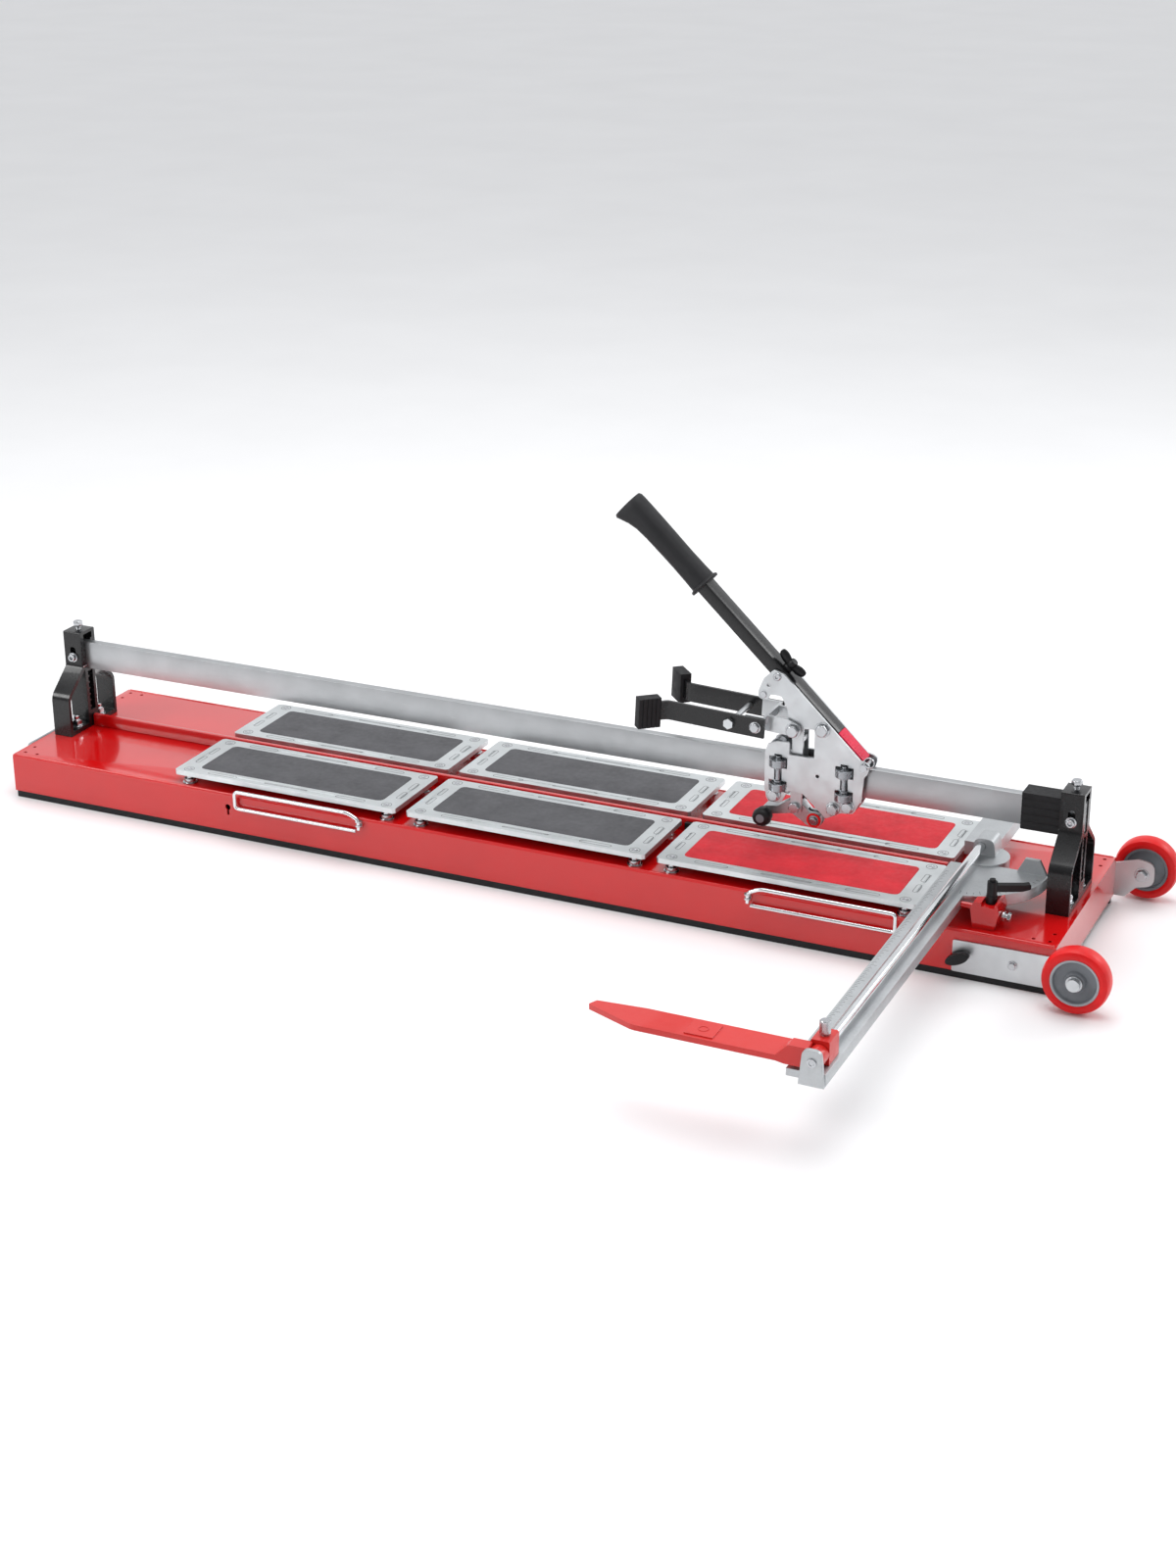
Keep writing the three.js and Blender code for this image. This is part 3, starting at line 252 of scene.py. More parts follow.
def add_lathe(bm, profile, place=Matrix.Identity(4), steps=48):
    """A turned body. Profile points are (radius, height), from the axis back to the axis."""
    rings = []
    for radius, height in profile:
        if radius == 0:
            rings.append([bm.verts.new(place @ Vector((0, 0, height)))])
        else:
            rings.append(add_circle(bm, radius, height, place, steps))
    for low, high in zip(rings, rings[1:]):
        for i in range(steps):
            j = (i + 1) % steps
            corners = [low[i % len(low)], low[j % len(low)], high[j % len(high)], high[i % len(high)]]
            unique = list(dict.fromkeys(corners))
            if len(unique) > 2:
                bm.faces.new(unique)


def add_cylinder(bm, radius, low, high, place, steps=24):
    add_lathe(bm, [(0, low), (radius, low), (radius, high), (0, high)], place, steps)


def add_ring(bm, profile, place=Matrix.Identity(4), steps=64):
    """A turned body with a hole: a closed profile that stays off the axis."""
    rings = [add_circle(bm, radius, height, place, steps) for radius, height in profile]
    add_skin(bm, rings, closed=True)


def both_faces(flank, half):
    """A closed profile, the same on both faces. Flank points are (radius, depth below the face)."""
    lower = [(radius, depth - half) for radius, depth in flank]
    return lower + [(radius, -height) for radius, height in reversed(lower)]


def add_prism(bm, outline, low, high, place=Matrix.Identity(4)):
    """An outline of (x, y) points, solid between two heights."""
    bottom = [bm.verts.new(place @ Vector((x, y, low))) for x, y in outline]
    top = [bm.verts.new(place @ Vector((x, y, high))) for x, y in outline]
    bm.faces.new(bottom[::-1])
    bm.faces.new(top)
    for i in range(len(outline)):
        j = (i + 1) % len(outline)
        bm.faces.new((bottom[i], bottom[j], top[j], top[i]))


def add_box(bm, low, high):
    outline = [(low[0], low[1]), (high[0], low[1]), (high[0], high[1]), (low[0], high[1])]
    add_prism(bm, outline, low[2], high[2])


def rounded(x0, y0, x1, y1, radius, steps=6):
    """Outline of a rectangle with round corners."""
    left, bottom, right, top = x0 + radius, y0 + radius, x1 - radius, y1 - radius
    points = []
    for quarter, (cx, cy) in enumerate(((right, top), (left, top), (left, bottom), (right, bottom))):
        for i in range(steps + 1):
            angle = math.pi / 2 * (quarter + i / steps)
            points.append((cx + radius * math.cos(angle), cy + radius * math.sin(angle)))
    return points


def polygon(sides, radius):
    """Corners of a regular polygon or, with many sides, points round a circle."""
    turns = [2 * math.pi * i / sides for i in range(sides)]
    return [(radius * math.cos(turn), radius * math.sin(turn)) for turn in turns]


def add_hex_bolt(bm, centre, axis, radius=HEX_RADIUS, height=HEX_HEIGHT, washer=1.3, turn=0.3):
    """Chamfered hexagon head on a face. Washer is its radius as a share of the head's, or 0 for none."""
    place = towards(centre, axis, turn)
    plate = WASHER if washer else 0.0
    if washer:
        rim = radius * washer
        add_lathe(bm, [(0, 0), (rim, 0), (rim, plate * 0.8), (rim * 0.97, plate), (0, plate)], place, 32)
    add_prism(bm, polygon(6, radius), plate, plate + height * 0.82, place)
    dome, top = radius * 0.86, plate + height
    foot = top - height * 0.3
    profile = [(0, foot), (dome, foot), (dome, top - 0.6 * MM), (dome * 0.9, top), (0, top)]
    add_lathe(bm, profile, place, 24)


def add_socket_screw(bm, centre, axis, radius, height):
    """Cylinder head with a hexagon socket."""
    place = towards(centre, axis)
    well = radius * 0.52
    profile = [(0, 0), (radius, 0), (radius, height * 0.85), (radius * 0.92, height)]
    profile += [(well, height), (well * 0.95, height * 0.35), (0, height * 0.35)]
    add_lathe(bm, profile, place, 32)


def add_path(bm, points, radius, sides=12):
    """A round wire through a list of points, with closed ends."""
    points = [Vector(p) for p in points]
    rings = []
    side = None
    for i, point in enumerate(points):
        ahead = (points[min(i + 1, len(points) - 1)] - points[max(i - 1, 0)]).normalized()
        if side is None:
            side = ahead.orthogonal().normalized()
        side = (side - ahead * side.dot(ahead)).normalized()
        other = ahead.cross(side)
        rings.append([bm.verts.new(point + side * x + other * y) for x, y in polygon(sides, radius)])
    add_skin(bm, rings, ends=True)


def smooth_by_angle(mesh, degrees=32):
    mesh.polygons.foreach_set("use_smooth", [True] * len(mesh.polygons))
    mesh.set_sharp_from_angle(angle=math.radians(degrees))


def piece(name, bm, material, body, bevel=0.0, replaces=()):
    """Turns a bmesh into a finished piece that rides on a body."""
    bmesh.ops.recalc_face_normals(bm, faces=bm.faces)
    mesh = bpy.data.meshes.new(name)
    bm.to_mesh(mesh)
    bm.free()
    obj = bpy.data.objects.new(name, mesh)
    bpy.context.scene.collection.objects.link(obj)
    if bevel:
        apply_bevel(obj, bevel)
    smooth_by_angle(obj.data)
    obj.data.materials.append(material)
    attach(obj, body)
    if replaces:
        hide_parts(*replaces)
    return obj


def apply_bevel(obj, width, segments=2):
    modifier = obj.modifiers.new("edge", "BEVEL")
    modifier.width = width
    modifier.segments = segments
    modifier.limit_method = "ANGLE"
    modifier.angle_limit = math.radians(40)
    bpy.context.view_layer.update()
    evaluated = obj.evaluated_get(bpy.context.evaluated_depsgraph_get())
    rounded_mesh = bpy.data.meshes.new_from_object(evaluated)
    obj.modifiers.clear()
    obj.data = rounded_mesh


def finish_node(node, material):
    """A smooth-shaded copy of a CAD node in its finish; the shape stays as it is."""
    source = frame["nodes"][node].data
    bm = bmesh.new()
    corners = [bm.verts.new(vertex.co) for vertex in source.vertices]
    for face in source.polygons:
        bm.faces.new([corners[i] for i in face.vertices])
    bmesh.ops.remove_doubles(bm, verts=bm.verts, dist=0.01 * MM)
    bmesh.ops.dissolve_limit(bm, angle_limit=math.radians(0.5), verts=bm.verts, edges=bm.edges)
    return piece(f"{node}_finish", bm, material, BODY_OF[node], replaces=(node,))


NODE_FINISH = {
    RED_PAINT: ("bed_pan", "breaking_ridge", "fence_clamp_block"),
    ARM_PAINT: ("stop_slider", "stop_arm"),
    BLACK_PAINT: ("post_left", "post_right", "lever_tube", "breaker_arm_front", "breaker_arm_rear"),
    BLACK_PLASTIC: ("fence_clamp_lever",),
    RUBBER: ("rubber_strip_front", "rubber_strip_rear", "rubber_strip_spine", "stop_sleeve",
             "breaker_pad_front", "breaker_pad_rear"),
    RAIL_STEEL: ("guide_rail", "spine_beam"),
    ZINC: ("carriage_plate_front", "carriage_plate_rear", "stirrup", "breaker_bracket", "fence_pivot_post",
           "breaker_cross_pin"),
    TABLE_ZINC: tuple(TABLES),
    CAST: ("fence_casting", "scoring_rocker"),
}


# ------------------------------------------------------------------ wheels
def wheel_pieces(row, side):
    """Red tyre, grey hub and the hub's pale outer ring, of one transport wheel."""
    place = towards(pivot(f"wheel_{row}_spin"), Y * side)
    low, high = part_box(f"wheel_tyre_{row}")
    outer, half = (high.z - low.z) / 2 / MM, (high.y - low.y) / 2 / MM
    inner = outer - TYRE_DEPTH
    bm = bmesh.new()
    flank = [(inner, 2.5), (inner + 4, 0.6), (outer - 7, 0.4)]
    flank += [(outer - 2.4, 2.4), (outer - 0.5, 7), (outer, 12)]
    add_ring(bm, in_mm(both_faces(flank, half)), place, 112)
    piece(f"tyre_{row}", bm, TYRE_RED, f"wheel_{row}", replaces=(f"wheel_tyre_{row}",))

    bm = bmesh.new()
    rim = inner - 0.3
    bore = 6.4
    add_ring(bm, in_mm([
        (bore, -half + 2), (14, -half + 2), (15, -half + 8),
        (30, -half + 8), (31.5, -half + 3.2), (rim, -half + 2.6),
        (rim, half - 2.6), (31.5, half - 3.2), (30, half - 7),
        (16, half - 8), (14.5, half - 2.5), (bore, half - 2),
    ]), place, 96)
    piece(f"hub_{row}", bm, HUB_GREY, f"wheel_{row}", replaces=(f"wheel_hub_{row}",))

    bm = bmesh.new()
    ring = [(32, half - 2.9), (inner, half - 2.7), (inner, half - 1.9), (34, half - 1.7), (32.4, half - 2)]
    add_ring(bm, in_mm(ring), place, 96)
    piece(f"hub_ring_{row}", bm, HUB_RING, f"wheel_{row}")


def wheel_bracket(row, side):
    """Axle head, nut, screw and oval knob of a wheel bracket, over the plate's finish."""
    node = f"wheel_bracket_{row}"
    finish_node(node, ZINC)
    low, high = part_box(node)
    axle = pivot(f"wheel_{row}_spin")
    outer, wall = (high.y, low.y) if side > 0 else (low.y, high.y)
    face = wall + side * BRACKET_FACE
    bm = bmesh.new()
    head = Vector((axle.x, outer - side * 7 * MM, axle.z))
    add_hex_bolt(bm, head, Y * side, radius=9.4 * MM, height=5 * MM, washer=1.3)
    add_hex_bolt(bm, Vector((axle.x, wall, axle.z)), Y * -side, radius=9 * MM, height=6 * MM, washer=1.3)
    screw = Vector((BRACKET_SCREW_X, face, BRACKET_FITTINGS_Z))
    add_hex_bolt(bm, screw, Y * side, radius=6 * MM, height=3 * MM, washer=1.2)
    piece(f"{node}_bolts", bm, BOLT_ZINC, "bed", bevel=0.35 * MM)

    bm = bmesh.new()
    stem = Vector((BRACKET_KNOB_X, face, BRACKET_FITTINGS_Z))
    add_cylinder(bm, 5 * MM, 0, 6 * MM, towards(stem, Y * side))
    oval = [(19 * MM * x, 8.5 * MM * y) for x, y in polygon(40, 1)]
    add_prism(bm, oval, 0, 11 * MM, towards(stem + Y * side * 5 * MM, Y * side, 0.45))
    piece(f"{node}_knob", bm, BLACK_PLASTIC, "bed", bevel=2.4 * MM)


# ------------------------------------------------------------------ bearings and rollers
def add_bearing(bm, place, radius, width):
    """Ball bearing: outer race, recessed shield and inner race on both faces."""
    outer = radius / MM
    flank = [(4, 0), (7, 0), (7.2, 0.7), (outer - 2.6, 0.7), (outer - 2.3, 0), (outer - 0.5, 0), (outer, 0.5)]
    add_ring(bm, in_mm(both_faces(flank, width / MM / 2)), place, 48)


def side_bearing(node):
    """Two bearings on an upright axle, with two collars on it between them."""
    low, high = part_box(node)
    centre = (low + high) / 2
    bottom, top = low.z / MM, high.z / MM
    bm = bmesh.new()
    for height in SIDE_BEARINGS_Z:
        add_bearing(bm, towards((centre.x, centre.y, height)), (high.x - low.x) / 2, 12 * MM)
    axle = [(0, bottom), (4, bottom), (4, 192), (6.5, 192.4), (6.5, 196), (4, 197)]
    axle += [(4, 214), (6.5, 215), (6.5, 218.6), (4, 219), (4, top), (0, top)]
    add_lathe(bm, in_mm(axle), towards((centre.x, centre.y, 0)), 24)
    piece(f"{node}_bearings", bm, BEARING_STEEL, BODY_OF[node], replaces=(node,))


def lower_roller(node):
    low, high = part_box(node)
    place = towards((low + high) / 2, Y)
    end = (high.y - low.y) / 2
    bm = bmesh.new()
    add_bearing(bm, place, (high.z - low.z) / 2, ROLLER_WIDTH)
    add_cylinder(bm, AXLE_RADIUS, -end, end, place)
    piece(f"{node}_bearing", bm, BEARING_STEEL, BODY_OF[node], replaces=(node,))


def upper_rollers():
    """The rollers that run on top of the rail, between the side plates."""
    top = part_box("guide_rail")[1].z
    radius, end = 12.5 * MM, 16 * MM
    bm = bmesh.new()
    for node in LOWER_ROLLERS:
        low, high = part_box(node)
        place = towards(Vector(((low.x + high.x) / 2, 0, top + radius + 0.3 * MM)), Y)
        add_bearing(bm, place, radius, ROLLER_WIDTH)
        add_cylinder(bm, AXLE_RADIUS, -end, end, place)
    piece("upper_rollers", bm, BEARING_STEEL, "carriage")


def pivot_bolt(node, seat):
    """Through bolt with a washer and a hexagon at both ends, which start at the seat's distance."""
    low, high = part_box(node)
    centre = (low + high) / 2
    head = high.y - centre.y - seat - WASHER
    bm = bmesh.new()
    add_cylinder(bm, 4.4 * MM, -seat, seat, towards(centre, Y), 32)
    for side in (-1, 1):
        face = centre + Y * side * seat
        add_hex_bolt(bm, face, Y * side, radius=10.4 * MM, height=head, washer=1.18, turn=0.15)
    piece(f"{node}_and_nut", bm, BOLT_ZINC, BODY_OF[node], bevel=0.3 * MM, replaces=(node,))


def carriage_bolts():
    """Bolts and rivets on both side plates, and the bolts that the scoring rocker turns on."""
    bm = bmesh.new()
    for side in (-1, 1):
        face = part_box("carriage_plate_rear")[1].y * side
        for node in LOWER_ROLLERS:
            low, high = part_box(node)
            centre = Vector(((low.x + high.x) / 2, face, (low.z + high.z) / 2))
            add_hex_bolt(bm, centre, Y * side, washer=1.15, turn=0.2 * side)
        add_hex_bolt(bm, Vector((PLATE_BOLT[0], face, PLATE_BOLT[1])), Y * side, washer=1.15, turn=0.5)
        hollow = [(0, 0), (6.5, 0), (6.5, 1.5), (5, 3), (2.6, 3), (2.4, 1), (0, 1)]
        add_lathe(bm, in_mm(hollow), towards((HOLLOW_RIVET[0], face, HOLLOW_RIVET[1]), Y * side), 32)
        flat = [(0, 0), (5.6, 0), (5.6, 1.2), (4.8, 1.8), (0, 1.8)]
        add_lathe(bm, in_mm(flat), towards((FLAT_RIVET[0], face, FLAT_RIVET[1]), Y * side), 32)
    piece("carriage_bolts", bm, BOLT_ZINC, "carriage", bevel=0.3 * MM)

    bm = bmesh.new()
    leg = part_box("stirrup")[1].y
    for side in (-1, 1):
        centre = pivot("rocker_tilt")
        centre.y = leg * side
        add_hex_bolt(bm, centre, Y * side, washer=0, turn=0.1)
    piece("rocker_pivot_bolt", bm, BOLT_ZINC, "carriage", bevel=0.4 * MM)


# ------------------------------------------------------------------ lever
def lever_place():
    return Matrix.Translation(pivot("lever_swing")) @ Matrix.Rotation(LEVER_ANGLE, 4, "Y")


def lever_grip():
    """Rubber grip: a mouth ring, a slightly waisted body and a hooked far end."""
    place = lever_place()
    # along the grip: (share of its length, half width, upper half height, lower half height)
    stations = [
        (0.0, 17, 17, 17), (0.0, 24, 24, 24), (0.012, 25, 25, 25), (0.026, 24, 24, 24),
        (0.036, 20.5, 20.5, 20.5), (0.1, 20, 20, 20), (0.3, 19.4, 19.4, 19.4), (0.5, 19.8, 19.8, 19.8),
        (0.66, 20, 20, 20.5), (0.78, 20, 20, 22.5), (0.87, 19.8, 20, 27), (0.94, 19, 20, 33),
        (0.98, 17.5, 19.6, 36.5), (1.0, 15, 17.5, 34.5), (1.0, 8, 9, 18),
    ]
    sides, flutes, flute_depth = 56, 14, 0.012
    bm = bmesh.new()
    rings = []
    for share, wide, upper, lower in stations:
        x = GRIP_START + (GRIP_END - GRIP_START) * share
        depth = flute_depth if 0.06 < share < 0.8 else 0
        ring = []
        for i in range(sides):
            angle = 2 * math.pi * i / sides
            flute = 1 - depth * (0.5 + 0.5 * math.cos(flutes * angle))
            tall = upper if math.sin(angle) > 0 else lower
            y = wide * MM * math.cos(angle) * flute
            z = GRIP_AXIS_Z + tall * MM * math.sin(angle) * flute
            ring.append(bm.verts.new(place @ Vector((x, y, z))))
        rings.append(ring)
    add_skin(bm, rings, ends=True)
    piece("grip", bm, GRIP_RUBBER, "lever", replaces=("lever_grip",))


def lever_end_cap():
    """Red end cap with a row of raised ribs on its upper face."""
    place = lever_place()
    low, high, half = 19.3 * MM, 77 * MM, 14 * MM
    bottom, top = 2.7 * MM, 14.4 * MM
    bm = bmesh.new()
    add_prism(bm, rounded(low, -half, high, half, 3 * MM), bottom, top, place)
    piece("end_cap", bm, CAP_RED, "lever", bevel=1.2 * MM, replaces=("lever_end_cap",))
    ribs, first, pitch, wide, rib_half = 9, 6 * MM, 5.2 * MM, 2.2 * MM, 9 * MM
    bm = bmesh.new()
    for i in range(ribs):
        x = low + first + pitch * i
        rib = rounded(x, -rib_half, x + wide, rib_half, 1 * MM, 3)
        add_prism(bm, rib, top - 0.4 * MM, top + 0.5 * MM, place)
    piece("end_cap_ribs", bm, CAP_RED, "lever", bevel=0.25 * MM)


def wing_knob():
    """Two-winged knob that fixes the lever's length stop."""
    place = lever_place() @ Matrix.Translation(WING_KNOB)
    bm = bmesh.new()
    core = [(0, 0), (8, 0), (8, 3), (6, 5), (7.6, 12), (6, 17), (0, 18)]
    add_lathe(bm, in_mm(core), place, 40)
    for side in (-1, 1):
        rings = []
        for share in (0.0, 0.25, 0.5, 0.75, 0.92, 1.0):
            reach = side * (3 + 23 * share) * MM
            height = (9 + 4 * share) * MM
            swell = math.sin(math.pi * share)
            taper = 1 - 5.5 * max(0, share - 0.9)
            tall, wide = (5.5 + 2.5 * swell) * taper * MM, (3.6 + 0.6 * swell) * taper * MM
            points = [Vector((reach, wide * x, height + tall * y)) for x, y in polygon(28, 1)]
            rings.append([bm.verts.new(place @ point) for point in points])
        add_skin(bm, rings, ends=True)
    piece("wing_knob_wings", bm, BLACK_PLASTIC, "wing_knob", replaces=("lever_wing_knob",))


# ------------------------------------------------------------------ scoring head
def scoring_wheel():
    """Scoring wheel with a sharp edge, and the red ring and bolt head on each side."""
    centre = pivot("scoring_wheel_spin")
    place = towards(centre, Y)
    bm = bmesh.new()
    add_lathe(bm, in_mm([(0, -2.6), (9, -2.6), (13, 0), (9, 2.6), (0, 2.6)]), place, 64)
    for side in (-1, 1):
        face = centre + Y * side * 9.8 * MM
        add_hex_bolt(bm, face, Y * side, radius=6.2 * MM, height=4 * MM, washer=1.3)
    name = "scoring_wheel_and_bolt"
    piece(name, bm, BEARING_STEEL, "score_wheel", bevel=0.2 * MM, replaces=("scoring_wheel",))
    bm = bmesh.new()
    inner, outer, near, far = 8.3, 11.5, 9.7, 11.5
    for side in (-1, 1):
        ring = [(inner, near * side), (outer, near * side), (outer, far * side), (inner, far * side)]
        add_ring(bm, in_mm(ring), place, 48)
    piece("scoring_wheel_rings", bm, TYRE_RED, "score_wheel", bevel=0.4 * MM)


def rocker_knob():
    """Faceted knob with a pale end plug."""
    low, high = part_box("rocker_knob")
    centre = pivot("rocker_knob_turn")
    place = towards((centre.x, high.y, centre.z), -Y)
    length = (high.y - low.y) / MM
    bm = bmesh.new()
    add_cylinder(bm, 4.5 * MM, 0, 12 * MM, place)
    facets = 10
    profile = in_mm([(10.5, 12), (14.2, 15), (15.2, 20), (15, 29), (11.8, length)])
    add_skin(bm, [add_circle(bm, radius, height, place, facets) for radius, height in profile], ends=True)
    piece("knob_body", bm, BLACK_PLASTIC, "rocker_knob", bevel=0.9 * MM, replaces=("rocker_knob",))
    bm = bmesh.new()
    plug = towards((centre.x, low.y, centre.z), -Y)
    add_lathe(bm, in_mm([(0, -0.5), (7, -0.5), (6.6, 0.7), (0, 1.2)]), plug, 40)
    piece("knob_plug", bm, HUB_GREY, "rocker_knob")


def lock_ring_pin():
    """Quick-release pin and its split ring."""
    low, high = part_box("lock_ring_pin")
    x, z = RING_PIN
    reach = high.y / MM
    bm = bmesh.new()
    pin = [(0, -reach), (6, -reach), (6, -reach + 4), (3, -reach + 4), (3, reach - 1), (2, reach), (0, reach)]
    add_lathe(bm, in_mm(pin), towards((x, 0, z), Y), 32)
    for turn in range(2):
        centre = Vector((x + 9 * MM, low.y + (1.6 + 1.5 * turn) * MM, z + 10 * MM))
        circle = [centre + X * across + Z * up for across, up in polygon(48, 8 * MM)]
        add_path(bm, circle, 0.9 * MM, 10)
    piece("ring_pin", bm, BOLT_ZINC, "carriage", replaces=("lock_ring_pin",))


# ------------------------------------------------------------------ breaker
def breaker_bolts():
    """Hexagon bolts that hold the arms to their bracket."""
    place = Matrix.Translation(pivot("breaker_swing")) @ Matrix.Rotation(BREAKER_ANGLE, 4, "Y")
    bm = bmesh.new()
    for side in (-1, 1):
        centre = place @ Vector((ARM_BOLT[0], side * ARM_BOLT[1], ARM_BOLT[2]))
        add_hex_bolt(bm, centre, Y * side, radius=8 * MM, height=5 * MM, washer=1.15)
    piece("breaker_arm_bolts", bm, BOLT_ZINC, "breaker", bevel=0.35 * MM)


# ------------------------------------------------------------------ posts
def post_fittings(name, side):
    """Height screw, clamp screws, foot bolts and rail shim of a post."""
    low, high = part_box(name)
    x = (low.x + high.x) / 2
    bm = bmesh.new()
    thread = [(0, -1)]
    for i in range(6):
        thread += [(4.6, i - 1), (4.0, i - 0.5)]
    thread += [(4.6, 5), (4.6, 8), (0, 8)]
    add_lathe(bm, in_mm(thread), towards((x, 0, high.z)), 24)
    add_hex_bolt(bm, Vector((x, 0, high.z + 7 * MM)), Z, radius=8.6 * MM, height=7.6 * MM, washer=0)
    for way in (-1, 1):
        cheek = Vector((x, way * POST_CHEEK, POST_CLAMP_Z))
        add_cylinder(bm, 8.5 * MM, 0, 1.6 * MM, towards(cheek, Y * way), 36)
        add_socket_screw(bm, cheek + Y * way * 1.6 * MM, Y * way, 6.4 * MM, 6 * MM)
        foot = Vector((x + 4 * MM, way * POST_FOOT_BOLT, POST_FOOT_TOP))
        add_hex_bolt(bm, foot, Z, radius=9.6 * MM, height=11 * MM, washer=1.25)
        add_lathe(bm, in_mm([(0, 11), (6, 11), (6, 18), (5.2, 19), (0, 19)]), towards(foot), 28)
    piece(f"{name}_bolts", bm, BOLT_ZINC, "bed", bevel=0.35 * MM)
    bm = bmesh.new()
    inner = low.x if side > 0 else high.x
    add_box(bm, (inner - 0.6 * MM, -19 * MM, 188.6 * MM), (inner + 0.6 * MM, -8.5 * MM, 191 * MM))
    piece(f"{name}_shim", bm, ZINC, "bed", bevel=0.2 * MM)


# ------------------------------------------------------------------ tables
def add_groove_shade(bm, centre, half_x, half_y, line=1.1 * MM, height=0.12 * MM):
    """Outline of a pressed slot on a table's rim, drawn as a thin closed band in a darker grey that paints the
    shade inside the slot.
    """
    place = Matrix.Translation(centre)

    def stadium(grow, z):
        x, y = half_x + grow, half_y + grow
        outline = rounded(-x, -y, x, y, min(x, y) * 0.98, 5)
        return [bm.verts.new(place @ Vector((px, py, z))) for px, py in outline]

    sunk = -0.1 * MM
    rings = [stadium(0, sunk), stadium(0, height), stadium(line, height), stadium(line, sunk)]
    add_skin(bm, rings, closed=True)


def table_mat(node):
    low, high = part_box(node)
    x, y = MAT_MARGIN
    bm = bmesh.new()
    mat = rounded(low.x + x, low.y + y, high.x - x, high.y - y, 9 * MM, 8)
    add_prism(bm, mat, high.z - 1.45 * MM, high.z + 0.25 * MM)
    colour = MAT_RED if node.endswith("right") else MAT_GREY
    piece(f"{node}_mat", bm, colour, BODY_OF[node], bevel=0.35 * MM)


def table_fasteners(node, corners):
    """Corner screws, and the pins under them that enter the spring cups."""
    screws, pins = bmesh.new(), bmesh.new()
    screw = in_mm([(0, -0.2), (5.2, -0.2), (5.2, 0.25), (4.6, 0.5), (2.4, 0.5), (2.2, 0.1), (0, 0.1)])
    pin = in_mm([(0, -16.2), (5.5, -16.2), (6, -15.6), (6, -3.1), (0, -3.1)])
    for corner in corners:
        add_lathe(screws, screw, towards(corner), 32)
        add_lathe(pins, pin, towards(corner), 28)
    piece(f"{node}_screws", screws, BOLT_ZINC, BODY_OF[node])
    piece(f"{node}_spring_pins", pins, BOLT_ZINC, BODY_OF[node])


def table_groove_shading(node, corners):
    """Painted shade: darker bands where pressed slots run along the rim, and a darker ring of painted shade round
    each corner screw.
    """
    low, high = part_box(node)
    middle = (low + high) / 2
    long_half, short_half = (high.x - low.x) / 2 - 44 * MM, 30 * MM
    long_rim, short_rim = high.y - middle.y - 11 * MM, high.x - middle.x - 17 * MM
    bm = bmesh.new()
    for way in (-1, 1):
        rim_y = middle.y + way * long_rim
        add_groove_shade(bm, (middle.x, rim_y, high.z), long_half * 0.24, 0.9 * MM)
        for end in (-1, 1):
            rim_x = middle.x + end * short_rim
            add_groove_shade(bm, (rim_x, middle.y + way * 20 * MM, high.z), 3 * MM, short_half * 0.45)
            add_groove_shade(bm, (middle.x + end * long_half * 0.74, rim_y, high.z), long_half * 0.16, 3 * MM)
    # A darker ring round each corner screw paints the shade of its recess.
    for corner in corners:
        add_ring(bm, in_mm([(7.6, 0), (8.8, 0), (8.8, 0.12), (7.6, 0.12)]), towards(corner), 36)
    piece(f"{node}_groove_shading", bm, GROOVE_SHADE, BODY_OF[node])


def table_spring_cups(node, corners):
    bed_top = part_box("bed_pan")[1].z
    cup = in_mm([(7.5, 0.1), (12, 0.1), (12, 1.6), (9.6, 2), (9.6, 7.6), (9, 8.2), (7.5, 8.2)])
    bm = bmesh.new()
    for corner in corners:
        add_ring(bm, cup, towards((corner.x, corner.y, bed_top)), 36)
    piece(f"{node}_spring_cups", bm, BOLT_ZINC, "bed")


def table_pieces(node):
    low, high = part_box(node)
    x, y = SCREW_INSET
    corners = [Vector((cx, cy, high.z)) for cx in (low.x + x, high.x - x) for cy in (low.y + y, high.y - y)]
    table_mat(node)
    table_fasteners(node, corners)
    table_groove_shading(node, corners)
    table_spring_cups(node, corners)


# ------------------------------------------------------------------ fence
def fence_scale():
    """Ticks every 5 mm along the ledge, longer at 10 and 50 mm."""
    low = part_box("fence_casting")[0]
    spacing, half_line = 5 * MM, 0.28 * MM
    first, last = low.y + 20 * MM, -60 * MM
    x = low.x + 2 * MM
    bm = bmesh.new()
    for i in range(int((last - first) / spacing)):
        length = 10 * MM if i % 10 == 0 else 6.5 * MM if i % 2 == 0 else 4 * MM
        y = first + i * spacing
        start = (x, y - half_line, LEDGE_TOP - 0.1 * MM)
        add_box(bm, start, (x + length, y + half_line, LEDGE_TOP + 0.08 * MM))
    piece("fence_scale_ticks", bm, INK, "fence")


def fence_end():
    """End plate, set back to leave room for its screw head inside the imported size."""
    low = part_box("fence_end_plate")[0]
    head = 1.6 * MM
    plate = finish_node("fence_end_plate", CAST)
    for vertex in plate.data.vertices:
        if vertex.co.y < low.y + 0.1 * MM:
            vertex.co.y += head
    rod_low, rod_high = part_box("fence_rod")
    rod = (rod_low + rod_high) / 2
    bm = bmesh.new()
    add_socket_screw(bm, (rod.x, low.y + head, rod.z), -Y, 6.6 * MM, head)
    piece("fence_end_screw", bm, BOLT_ZINC, "fence", bevel=0.2 * MM)


